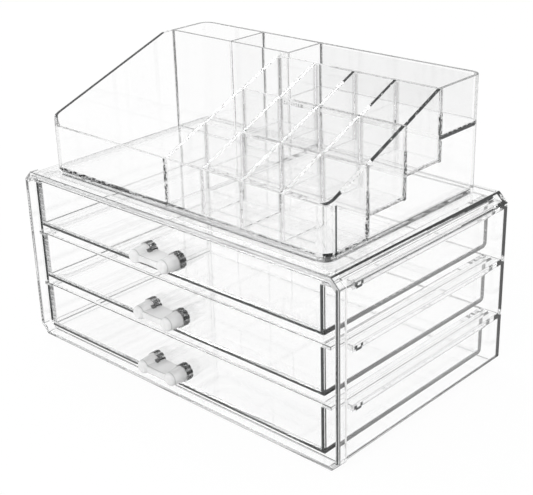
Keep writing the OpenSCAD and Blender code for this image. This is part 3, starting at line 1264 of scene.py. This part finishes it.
    def build(self) -> None:
        """Builds the handle in place of its CAD node."""
        whole = Extent.of(self.node)
        face_y = Extent.of(self.node.replace("handle", "box")).low.y - BOND_GAP
        middle = Vector((0.0, face_y, (whole.low.z + whole.high.z) / 2))
        reach = face_y - whole.low.y
        left, right = self.studs(middle, reach)
        grip = combine(left, [right, self.web(middle, reach)], Cut.JOIN)
        grip.name = f"{self.body}_grip"
        soften(grip, self.edge_r, self.fillet_r, self.tones, self.seams(middle, reach))
        self.dress(grip)
        self.hand_over(grip, [self.node])
        for side in Side:
            self.hand_over(self.collar(side, middle), [])


@dataclass
class Drawer(Moulding):
    """One drawer with flanges that hang it on the ledges.

    Attributes:
        wall, front_t, floor_t, flange_t: thickness of walls, front, floor and flanges.
        slot_w: room between the case's wall and the drawer's side, for the ledge.
        back_r, back_inner_r: outer and inner radius where the floor turns up at the back.
        back_steps: straight lines in that turn.
        left_line_w: width of the painted line that the left wall draws on the front.
        floor_gap: how far the floor's painted line stays above its underside and below its top.
        corner_gap: how far a side wall's painted line stays from the corner.
        edge_r, fillet_r: rounding of outer edges and of inner corners.
        tones: how much painted shade those two get.
    """

    body: str = ""
    slot: str = "clear_drawer"
    finish: ClearPlastic = DRAWER_FINISH
    wall: float = 2.2
    front_t: float = 2.4
    floor_t: float = 2.0
    flange_t: float = 2.0
    slot_w: float = 7.6
    back_r: float = 3.0
    back_inner_r: float = 0.4
    back_steps: int = 8
    left_line_w: float = 0.6
    floor_gap: Span = (0.2, 0.3)
    corner_gap: float = 0.1
    edge_r: float = 0.45
    fillet_r: float = 0.7
    tones: tuple[float, float] = (0.2, 0.0)

    def side_view(self, box: Extent, inset: tuple[float, float, float], top: float) -> Outline:
        """Draws the drawer seen from the side.

        Args:
            box: the drawer's extent.
            inset: how far the outline is inside the front, the back and the floor.
            top: height of its upper edge.

        Returns:
            The outline on Y and Z.
        """
        front, back, floor = inset
        return rounded(
            (box.low.y + front, box.low.z + floor),
            (box.high.y - back, top),
            [0.0, max(self.back_r - back, self.back_inner_r), 0.0, 0.0],
            self.back_steps,
        )

    def seams(self, box: Extent, half: float) -> list[Zone]:
        """Lists the painted shade where the floor and the side walls end in the outer faces.

        Args:
            box: the drawer's extent.
            half: half of the drawer's width below its flanges.

        Returns:
            Strips on the front and on both sides.
        """
        front, (under, over) = box.low.y, self.floor_gap
        floor = (box.low.z + under, box.low.z + self.floor_t - over)
        strips = [patch(Axis.Y, front, (-half, half), floor)]
        for side in Side:
            width = self.wall if side is Side.RIGHT else self.left_line_w
            near, far = sorted((side.value * (half - width), side.value * (half - self.corner_gap)))
            strips += [
                patch(Axis.Y, front, (near, far), (box.low.z, box.high.z - self.flange_t)),
                patch(Axis.X, side.value * half, (front, box.high.y - self.back_r), floor),
            ]
        return strips

    def build(self) -> None:
        """Builds the drawer and its handle."""
        node = f"{self.body}_box"
        box = Extent.of(node)
        half = Extent.of("case_shell").high.x - Cabinet.wall - self.slot_w
        outer = self.side_view(box, (0, 0, 0), box.high.z)
        drawer = prism(f"{self.body}_tub", outer, Axis.X, -half, half)
        rim = (box.low.x, box.low.y, box.high.z - self.flange_t)
        combine(drawer, [block("flange", rim, (box.high.x, box.high.y, box.high.z))], Cut.JOIN)
        inner = self.side_view(box, (self.front_t, self.wall, self.floor_t), box.high.z + PAST)
        room = prism("room", inner, Axis.X, -half + self.wall, half - self.wall)
        combine(drawer, [room], Cut.REMOVE)
        soften(drawer, self.edge_r, self.fillet_r, self.tones, self.seams(box, half))
        self.dress(drawer)
        self.hand_over(drawer, [node])
        Handle(body=self.body, node=f"{self.body}_handle").build()


@dataclass
class Tray(Moulding):
    """The lift-off tray in one moulding: slots that step up, an open compartment and deep bins.

    Attributes:
        wall, divider, floor_t: thickness of outer walls, of inner walls and of floors.
        corner_r: radius of the outer corners.
        front_h: height of the front wall above the foot.
        columns, rows: number of slots across and deep.
        slot_w, slot_l: room in a slot, across and deep.
        rise_l: length of the curve at the front of the left wall's top, and half its height.
        rise_turn: degrees of that curve that one straight line stands for.
        edge_r, fillet_r: rounding of outer edges and of inner corners.
        tones: how much painted shade those two get.
        end_tone: how much painted shade the end of a cross wall gets.
        band, band_tone: span on Y of the greyer painted band in that end, and how dark it is.
        dark_foot, flare: height of the end's darkest painted part, and how far it spreads to each side.
        floor_line: span on Z, from a floor's underside, of the painted line it draws on the right wall.
        fade: how far a mark on a crest stays away from the crest's ends.
        clear_tone: painted shade on the left ends of the crests.
        past_wall: how far the marks on the right crest reach inward past their wall.
        post: how far the painted dark front post reaches before and behind the turn of the corner.
        crest_x, crest_h: where the painted dark crests of the cross walls start on X, and their height.
        glint: where the right crest's painted shade is paler, under the small lamp's glint, from the
            corner.
        grey_from: where that crest's painted shade turns paler.
        clear_from: how far behind the first cross wall and over the front wall all crests' painted shade
            gets pale.
        grey_inset: how far faces painted grey stay away from the outer walls.
        joint_w: width of the painted grey band at each side of a rack wall where a cross wall meets it.
        corner_at, corner_reach: place and half width of the painted shade on a round corner.
        foot_gap: distance from the rack to the end of the painted grey strip on the front.
        floor_gap: how far that strip stays below the floor's top.
        foot_line, floor_edge: height of the painted line round the foot, and of the one under the floor.
        rack_walls: the nodes of the walls that run from front to back in the rack.
        shell: extent of the outer walls.
    """

    body: str = "tray"
    slot: str = "clear_tray"
    finish: ClearPlastic = TRAY_FINISH
    wall: float = 2.2
    divider: float = 1.8
    floor_t: float = 2.0
    corner_r: float = 7.0
    front_h: float = 29.0
    columns: int = 4
    rows: int = 3
    slot_w: float = 25.4
    slot_l: float = 27.8
    rise_l: float = 2.6
    rise_turn: int = 6
    edge_r: float = 0.6
    fillet_r: float = 1.4
    tones: tuple[float, float] = (1.0, 0.9)
    end_tone: float = 0.7
    band: Span = (0.3, 1.5)
    band_tone: float = 0.3
    dark_foot: float = 26.0
    flare: float = 0.4
    floor_line: Span = (0.4, 1.8)
    fade: float = 1.5
    clear_tone: float = 0.3
    past_wall: float = 0.8
    post: Span = (0.7, 0.6)
    crest_x: float = 30.0
    crest_h: float = 0.4
    glint: Span = (11.0, 21.0)
    grey_from: float = 46.0
    clear_from: Point2 = (4.0, 3.0)
    grey_inset: float = 4.0
    joint_w: float = 1.2
    corner_at: Point2 = (2.4, 2.5)
    corner_reach: float = 1.9
    foot_gap: float = 28.0
    floor_gap: float = 0.3
    foot_line: float = 0.45
    floor_edge: float = 0.8
    rack_walls: tuple[str, ...] = ("rack_side", "rack_divider_1", "rack_divider_2", "rack_divider_3")
    shell: Extent = field(default_factory=lambda: Extent.of("tray_shell"))

    def __post_init__(self) -> None:
        """Works out the places that several methods share."""
        self.floor_z = Extent.of("rack_side").low.z - BOND_GAP - self.floor_t
        self.front_z = self.shell.low.z + self.front_h
        self.rise = (self.shell.high.z - self.front_z) / self.rows
        self.rack_x = Extent.of("rack_side").low.x
        self.inner_x = self.shell.high.x - self.wall
        self.inner_y = (self.shell.low.y + self.wall, self.shell.high.y - self.wall)
        self.rear_y = self.row_y(self.rows)

    def row_y(self, row: int) -> float:
        """Front face of a row of slots."""
        return self.inner_y[0] + row * (self.slot_l + self.divider)

    def step_z(self, row: int) -> float:
        """Underside of the floor under a row of slots."""
        return self.floor_z + row * self.rise

    def tub(self, low: float, high: float) -> bpy.types.Object:
        """Makes the room inside the outer walls.

        Args:
            low: height where the room starts.
            high: height where it ends.

        Returns:
            A closed solid.
        """
        outline = rounded(
            (-self.inner_x, self.inner_y[0]),
            (self.inner_x, self.inner_y[1]),
            [self.corner_r - self.wall] * 4,
        )
        return prism("tub", outline, Axis.Z, low, high)

    def over(self, line: Outline, low_x: float, high_x: float) -> bpy.types.Object:
        """Makes what is cut away above a line seen from the side.

        Args:
            line: the wall's top, on Y and Z.
            low_x: where the cut starts.
            high_x: where it ends.

        Returns:
            A closed solid.
        """
        front, top = self.shell.low.y - PAST, self.shell.high.z + PAST
        outline = [(front, top), (front, self.front_z), *line, (line[-1][0], top)]
        return prism("over", outline, Axis.X, low_x, high_x)

    def left_line(self) -> Outline:
        """Draws the left wall's top: round up from the front wall, then straight to the rear."""
        start, rear, lift = self.inner_y[0], self.rear_y - self.divider / 2, 2 * self.rise_l
        curve = [
            (start + self.rise_l * (1 - math.cos(angle)), self.front_z + lift * math.sin(angle))
            for angle in (math.radians(a) for a in range(0, 90, self.rise_turn))
        ]
        return [*curve, (start + self.rise_l, self.front_z + lift), (rear, self.shell.high.z)]

    def rack_line(self) -> Outline:
        """Draws the rack's top: up along each row, and level over each cross wall."""
        line: Outline = []
        for row in range(self.rows):
            line.append((self.row_y(row), self.front_z + row * self.rise))
            line.append((self.row_y(row + 1) - self.divider, self.front_z + (row + 1) * self.rise))
        return line

    def bins(self) -> list[bpy.types.Object]:
        """Makes the rooms of the open compartment, the two deep bins and the back bin."""
        front, split = Extent.of("bin_front"), Extent.of("bin_divider")
        left, low = -self.inner_x, self.floor_z + self.floor_t
        rack, shelf = self.rack_x + self.divider, self.step_z(self.rows) + self.floor_t
        rooms = {
            "open": ((left, self.inner_y[0], low), (self.rack_x, front.low.y)),
            "outer": ((left, front.high.y, low), (split.low.x, self.inner_y[1])),
            "inner": ((split.high.x, front.high.y, low), (self.rack_x, self.inner_y[1])),
            "back": ((rack, self.rear_y, shelf), (self.inner_x, self.inner_y[1])),
        }
        return [block(name, a, (*b, self.shell.high.z + PAST)) for name, (a, b) in rooms.items()]

    def slots(self) -> bpy.types.Object:
        """Makes the rooms of all lipstick slots from one pocket on a stepped grid.

        Returns:
            One object with every slot.
        """
        half_w, half_l, height = self.slot_w / 2, self.slot_l / 2, self.shell.high.z - self.floor_z
        pocket = block("pocket", (-half_w, -half_l, 0), (half_w, half_l, height))
        middle_row = (self.rows - 1) / 2
        middle = Vector(
            (
                (self.rack_x + self.divider + self.inner_x) / 2,
                self.row_y(0) + self.slot_l / 2 + middle_row * (self.slot_l + self.divider),
                self.floor_z + self.floor_t + middle_row * self.rise,
            )
        )
        sizes = {
            "Columns": self.columns,
            "Rows": self.rows,
            "Column Pitch": (self.slot_w + self.divider) * MM,
            "Row Pitch": (self.slot_l + self.divider) * MM,
            "Rise": self.rise * MM,
            "Middle": tuple(middle * MM),
            "Pocket": pocket,
        }
        slots = mesh_object("slots", [], [])
        Recipe("slot grid", sizes, pocket_grid).grow(slots, self.dress(slots))
        bpy.data.objects.remove(pocket)
        return slots

    def step_marks(self) -> list[Zone]:
        """Lists the painted shade where the cross walls and raised floors of the rack end in the right
        wall.

        Returns:
            Strips on the right wall and on the crest of each cross wall.
        """
        right, marks = self.shell.high.x, []
        for row in range(self.rows):
            start, end = self.row_y(row), self.row_y(row + 1) - self.divider
            far, low, peak = end + self.divider, self.step_z(row), self.front_z + (row + 1) * self.rise
            band = (end + self.band[0], end + self.band[1])
            line = (low + self.floor_line[0], low + self.floor_line[1])
            marks += [
                patch(Axis.X, right, (end, far), (low, peak), self.end_tone),
                patch(Axis.X, right, band, (low, peak), self.band_tone, Mark.EDGE),
                patch(Axis.X, right, (end - self.flare, far + self.flare), (low, low + self.dark_foot)),
                Zone((self.crest_x, end, peak - self.crest_h), (right, far, peak + SKIN), self.end_tone),
                patch(Axis.X, right, (start, end), line, depth=0.9),
            ]
        shelf = self.step_z(self.rows)
        rear, deep = (self.rear_y, self.inner_y[1]), (shelf, shelf + self.floor_t)
        return marks + [patch(Axis.X, right, rear, deep, mark=mark) for mark in Mark]

    def rack_rims(self) -> list[Zone]:
        """Lists the painted shade on the rack's rounded edges and on the right wall's crest.

        Returns:
            Dark roundings in the corners between slots, paler crests on the left, a dark front post,
            and a dark crest at the right, painted paler in one stretch where the small lamp glints.
        """
        right, top, turn = self.shell.high.x, self.shell.high.z, self.shell.low.y + self.corner_r
        # Painted shade on the roundings in the corners between slots.
        corner_rims_low = (self.rack_x + self.divider - 0.5, self.shell.low.y + 0.5, self.floor_z + 1)
        marks = [Zone(corner_rims_low, (self.inner_x + SKIN, self.rear_y + 1, top + AIR), depth=0.9, rims=True)]
        for row in range(self.rows):
            near, far = self.row_y(row) + self.fade, self.row_y(row + 1) - self.divider - self.fade
            low = (self.rack_x - AIR, near, self.front_z + row * self.rise - 2)
            high = (self.inner_x - self.slot_w + 1, far, top + AIR)
            marks.append(Zone(low, high, self.clear_tone, over=True, rims=True))
        post, along = (self.floor_z, self.front_z - 1), (turn - self.post[0], turn + self.post[1])
        marks += [patch(Axis.X, right, along, post, mark=mark) for mark in Mark]
        crest, low_z = right - self.wall - self.past_wall, self.front_z + self.fade
        for start, end, depth in (
            (turn, self.rear_y, 0.6),
            (turn + self.glint[0], turn + self.glint[1], 0.05),
            (turn + self.grey_from, self.rear_y, 0.3),
        ):
            marks.append(rims((crest, start, low_z), (right + SKIN, end, top - self.fade), depth))
        behind, above = self.clear_from
        low = (self.rack_x - AIR, self.row_y(1) + behind, self.front_z + above)
        high = (self.inner_x - self.slot_w, self.rear_y - 1, top + AIR)
        return [*marks, rims(low, high, depth=0.25)]

    def grey_rooms(self) -> list[Zone]:
        """Lists faces painted grey as shade, where more walls stand close behind or meet there.

        Returns:
            The rear slots, the deep bins, and a band where each rack wall meets a cross wall.
        """
        right, top, floor = self.inner_x, self.shell.high.z, self.floor_z + self.floor_t
        rack, bin_y = self.rack_x + self.divider, Extent.of("bin_front").high.y
        left, back = self.shell.low.x + self.grey_inset, self.inner_y[1] + SKIN
        slots = (rack + 1, self.row_y(1), floor), (right - 1, self.rear_y, top)
        bins = (left, bin_y, floor), (self.rack_x - 1, back, top - 1)
        marks = [Zone(*room, depth=0.03, mark=Mark.EDGE) for room in (slots, bins)]
        for node in self.rack_walls:
            wall, spread = Extent.of(node), self.joint_w
            for row in range(1, self.rows + 1):
                joint, low_z = self.row_y(row), self.step_z(row - 1) + self.floor_t
                low = (wall.low.x - spread, joint - self.divider - SKIN, low_z)
                high = (wall.high.x + spread, joint + SKIN, self.front_z + row * self.rise - 1)
                depth = 0.6 if node == "rack_side" and row == self.rows else 0.3
                marks.append(Zone(low, high, depth, Mark.EDGE))
        return marks

    def rim_marks(self) -> list[Zone]:
        """Lists the painted shade on the upper rims behind the rack and on the round corners.

        Returns:
            An even line on the rims, corners that turn dark edge on, and a paler foot corner.
        """
        left, front, back = self.shell.low.x, self.shell.low.y, self.shell.high.y
        right, top, shelf = self.shell.high.x, self.shell.high.z, self.step_z(self.rows)
        bin_y, foot = Extent.of("bin_front").low.y - SKIN, self.shell.low.z + 0.7
        marks = [
            Zone((x, y, top - SKIN), (far, back + AIR, top + SKIN), depth=0.85, mark=Mark.EDGE)
            for x, y, far in (
                (left - AIR, self.inner_y[1] - SKIN, right + AIR),
                (left - AIR, bin_y, self.rack_x + 2),
                (self.inner_x - SKIN, self.rear_y - 1, right + AIR),
            )
        ]
        (aside, along), reach = self.corner_at, self.corner_reach
        for x, y, low, high, depth in (
            (right - aside, back - along, shelf, top, 0.7),
            (right - aside, back - along, self.floor_z, shelf, 0.25),
            (left + aside, front + along, self.floor_z, self.front_z, 0.35),
        ):
            marks.append(Zone((x - reach, y - reach, low), (x + reach, y + reach, high), depth))
        low = (right - self.corner_r, front - AIR, -AIR)
        high = (right + AIR, front + self.corner_r, foot)
        return [*marks, Zone(low, high, depth=0.3, mark=Mark.EDGE, over=True)]

    def wall_ends(self) -> list[Zone]:
        """Lists the painted shade where inner walls end in the front, back and left walls.

        Returns:
            The wall of the back bin, painted a shade greyer, and dark strips on those walls over it.
        """
        left, front, back, top = self.shell.low.x, self.shell.low.y, self.shell.high.y, self.shell.high.z
        wide = (self.rack_x + self.divider, self.inner_x - self.grey_inset)
        deep = (self.step_z(self.rows) + self.floor_t, top - 1)
        marks = [patch(Axis.Y, self.inner_y[1], wide, deep, depth=0.18, mark=Mark.EDGE)]
        for node in self.rack_walls:
            wall, depth = Extent.of(node), 1.0 if node == "rack_side" else 0.35
            span = (wall.low.x, wall.high.x)
            marks.append(patch(Axis.Y, front, span, (self.floor_z, self.front_z), depth))
        for node, axis, face, grey in (
            ("rack_side", Axis.Y, back, 0.5),
            ("bin_divider", Axis.Y, back, 0.5),
            ("bin_front", Axis.X, left, 0.7),
        ):
            wall, across = Extent.of(node), 0 if axis is Axis.Y else 1
            span = (wall.low[across], wall.high[across])
            for mark, depth in ((Mark.SEAM, 0.9), (Mark.EDGE, grey)):
                marks.append(patch(axis, face, span, (self.floor_z, top), depth, mark))
        return marks

    def foot_marks(self) -> list[Zone]:
        """Lists the painted dark lines that the foot and the floor draw round the bottom of the tray.

        Returns:
            A foot line and a floor line on the front and right walls, and a grey strip between
            them at the left of the front.
        """
        front, right, foot = self.shell.low.y, self.shell.high.x, self.shell.low.z
        floor = self.floor_z + self.floor_t
        wide = (self.shell.low.x + self.corner_r - SKIN, right - self.corner_r + SKIN)
        deep = (front + self.corner_r - SKIN, self.shell.high.y - self.corner_r + SKIN)
        marks = []
        for axis, face, span, depth in ((Axis.Y, front, wide, 1.0), (Axis.X, right, deep, 0.55)):
            line = (foot, foot + self.foot_line)
            marks += [patch(axis, face, span, line, depth, mark) for mark in Mark]
            marks.append(patch(axis, face, span, (floor - self.floor_edge, floor), depth))
        grey = (self.shell.low.x + self.corner_r, self.rack_x - self.foot_gap)
        span = (self.floor_z, floor - self.floor_gap)
        return marks + [patch(Axis.Y, front, grey, span, depth=0.6, mark=mark) for mark in Mark]

    def seams(self) -> list[Zone]:
        """Lists all marks of painted shade, in the order in which they are laid over one another."""
        groups = (self.step_marks, self.rack_rims, self.grey_rooms, self.rim_marks, self.wall_ends)
        return [zone for group in (*groups, self.foot_marks) for zone in group()]

    def hollow(self) -> bpy.types.Object:
        """Makes the room under the raised floors, which is open below."""
        base, shelf = self.shell.low.z - PAST, self.step_z(self.rows)
        outline = [(self.row_y(1), base)]
        for row in range(1, self.rows):
            outline += [(self.row_y(row), self.step_z(row)), (self.row_y(row + 1), self.step_z(row))]
        outline += [(self.rear_y, shelf), (self.inner_y[1], shelf), (self.inner_y[1], base)]
        under = prism("under", outline, Axis.X, self.rack_x + self.divider, self.inner_x)
        return combine(under, [self.tub(base - PAST, self.shell.high.z)], Cut.TRIM)

    def build(self) -> None:
        """Builds the tray from its outer form by taking the rooms out."""
        low, high = self.shell.low.z, self.shell.high.z
        tray = prism("tray_moulding", rounded(*self.shell.plan(), [self.corner_r] * 4), Axis.Z, low, high)
        tops = [
            self.over(self.left_line(), self.shell.low.x - PAST, self.rack_x),
            self.over(self.rack_line(), self.rack_x, self.shell.high.x + PAST),
        ]
        combine(tray, tops, Cut.REMOVE)
        rooms = (*self.bins(), self.slots())
        combine(tray, [combine(room, [self.tub(low, 2 * high)], Cut.TRIM) for room in rooms], Cut.REMOVE)
        combine(tray, [self.tub(low - PAST, self.floor_z), self.hollow()], Cut.REMOVE)
        soften(tray, self.edge_r, self.fillet_r, self.tones, self.seams())
        self.dress(tray)
        parts = ["tray_shell", "rack_side", "back_bin_floor", "bin_front", "bin_divider"]
        parts += [f"rack_divider_{i}" for i in (1, 2, 3)]
        parts += [f"row_wall_{row}" for row in ("front", "middle", "rear")]
        parts += [f"slot_floor_{row}" for row in ("middle", "rear")]
        self.hand_over(tray, parts)


# ---- studio ---------------------------------------------------------------------------------


@dataclass
class Studio:
    """Pale floor, white backdrop and soft light, in metres and watts.

    Attributes:
        floor_size: side of the sweep.
        floor_gap: how far it lies below the object.
        glow: share of plain white in the sweep where it is seen; the rest keeps the shadow.
        floor_tint: colour of the sweep.
        zenith, zenith_from: colour overhead for light seen through plastic, and its lowest height.
        horizon, horizon_to: colour at eye level, and its greatest height.
        boxes: size, place and power of each lamp.
    """

    floor_size: float = 6.0
    floor_gap: float = 0.0004
    glow: float = 0.96
    floor_tint: str = "#F2F2F2"
    zenith: str = "#ECEFF0"
    boxes: tuple[tuple[Point2, Point3, float], ...] = (
        ((0.34, 0.36), (-1.03, 0.38, 1.26), 3.8),
        ((0.08, 0.08), (-0.826, 0.361, 1.356), 0.2),
        ((0.7, 0.5), (0.2, -1.0, 1.1), 6.0),
    )
    horizon: str = "#FFFFFF"
    horizon_to: float = 0.45
    zenith_from: float = 0.8

    def seen(self, tree: bpy.types.NodeTree) -> bpy.types.NodeSocket:
        """Adds a switch that is one for what the camera sees, straight or through the plastic.

        Args:
            tree: the node tree of the surface that is seen.

        Returns:
            The switch.
        """
        path = add(tree, "ShaderNodeLightPath").outputs
        rays = {0: path["Is Camera Ray"], 1: path["Is Glossy Ray"]}
        mirror = add(tree, "ShaderNodeMath", rays, operation="MAXIMUM").outputs[0]
        rays = {0: mirror, 1: path["Is Transmission Ray"]}
        return add(tree, "ShaderNodeMath", rays, operation="MAXIMUM").outputs[0]

    def floor(self) -> None:
        """Lays a white sweep that keeps a soft shadow of the object."""
        bpy.ops.mesh.primitive_plane_add(size=self.floor_size, location=(0, 0, -self.floor_gap))
        sheet = bpy.context.object
        sheet.name = "studio_floor"
        material = bpy.data.materials.new("matt white paper sweep")
        material.use_nodes = True
        tree = material.node_tree
        tree.nodes.clear()
        paper = add(tree, "ShaderNodeBsdfDiffuse", {"Color": srgb(self.floor_tint)})
        glow = add(tree, "ShaderNodeEmission", {"Color": srgb("#FFFFFF"), "Strength": 1.0})
        share = add(tree, "ShaderNodeMath", {0: self.seen(tree), 1: self.glow}, operation="MULTIPLY")
        mixed = add(
            tree, "ShaderNodeMixShader", {0: share.outputs[0], 1: paper.outputs[0], 2: glow.outputs[0]}
        )
        add(tree, "ShaderNodeOutputMaterial", {"Surface": mixed.outputs[0]})
        sheet.data.materials.append(material)

    def sky(self) -> None:
        """Sets a white surround that darkens overhead for light seen through the plastic."""
        world = bpy.data.worlds.new("studio")
        bpy.context.scene.world = world
        world.use_nodes = True
        tree = world.node_tree
        tree.nodes.clear()
        way = add(tree, "ShaderNodeTexCoord").outputs["Generated"]
        height = add(tree, "ShaderNodeSeparateXYZ", {0: way})
        ramp = add(tree, "ShaderNodeValToRGB", {0: height.outputs["Z"]})
        low, high = ramp.color_ramp.elements
        low.position, low.color = self.horizon_to, srgb(self.horizon)
        high.position, high.color = self.zenith_from, srgb(self.zenith)
        bent = add(tree, "ShaderNodeLightPath").outputs
        rays = {0: bent["Is Glossy Ray"], 1: bent["Is Transmission Ray"]}
        through = add(tree, "ShaderNodeMath", rays, operation="MAXIMUM").outputs[0]
        share = {0: through, MIX_FIRST: srgb("#FFFFFF"), MIX_SECOND: ramp.outputs["Color"]}
        tone = add(tree, "ShaderNodeMix", share, data_type="RGBA")
        back = add(tree, "ShaderNodeBackground", {"Color": tone.outputs[MIX_RESULT], "Strength": 1.0})
        add(tree, "ShaderNodeOutputWorld", {"Surface": back.outputs[0]})

    def softboxes(self) -> None:
        """Hangs two lamps at the left, for glints on sloping edges, and a wide one in front."""
        for size, place, power in self.boxes:
            lamp = bpy.data.lights.new("softbox", "AREA")
            lamp.shape = "RECTANGLE"
            lamp.size, lamp.size_y = size
            lamp.energy = power
            hung = bpy.data.objects.new("softbox", lamp)
            bpy.context.scene.collection.objects.link(hung)
            hung.location = place
            hung.rotation_euler = Vector(place).to_track_quat("Z", "Y").to_euler()

    def build(self) -> None:
        """Builds the floor, the surround, the lamps and the light settings."""
        self.floor()
        self.sky()
        self.softboxes()
        scene = bpy.context.scene
        scene.view_settings.view_transform = "Standard"
        # A ray crosses up to forty skins of the nested clear walls, so short paths would go black.
        scene.cycles.max_bounces = 64
        scene.cycles.transmission_bounces = 64
        scene.cycles.glossy_bounces = 32


@dataclass
class Viewpoint:
    """The camera, above the object and to the right of its front.

    Attributes:
        azimuth, elevation, roll: its direction from the object and its lean, in degrees.
        aside, above: where the origin shows, right of and over the middle, in millimetres.
        distance: distance from the object's middle.
        focal_px: focal length in pixels of the final image.
        sensor: width of its sensor.
    """

    azimuth: float = 43.36
    elevation: float = 23.61
    roll: float = 1.68
    aside: float = -2.53
    above: float = -59.42
    distance: float = 693.24
    focal_px: float = 1160.93
    sensor: float = 36.0

    def build(self) -> None:
        """Makes the camera and hands it to the scene."""
        turn, tilt, roll = (math.radians(a) for a in (self.azimuth, self.elevation, self.roll))
        back = Vector(
            (math.sin(turn) * math.cos(tilt), -math.cos(turn) * math.cos(tilt), math.sin(tilt))
        )
        level = Vector((0, 0, 1)).cross(back).normalized()
        rise = back.cross(level)
        right = math.cos(roll) * level - math.sin(roll) * rise
        up = math.sin(roll) * level + math.cos(roll) * rise
        place = (-self.aside * right - self.above * up + self.distance * back) * MM
        lens = bpy.data.cameras.new("camera")
        lens.sensor_width = self.sensor
        lens.lens = self.focal_px / IMAGE_WIDTH_PX * self.sensor
        lens.clip_start = 0.01
        camera = bpy.data.objects.new("camera", lens)
        bpy.context.scene.collection.objects.link(camera)
        turned = Matrix((right, up, back)).transposed().to_4x4()
        turned.translation = place
        camera.matrix_world = turned
        bpy.context.scene.camera = camera


def main() -> None:
    """Builds the studio and each sub-assembly in order."""
    logging.basicConfig(level=logging.INFO, format="%(name)s: %(message)s")
    Viewpoint().build()
    Studio().build()
    Cabinet().build()
    for name in ("drawer_top", "drawer_mid", "drawer_low"):
        Drawer(body=name).build()
    Tray().build()


if __name__ == "__main__":
    main()
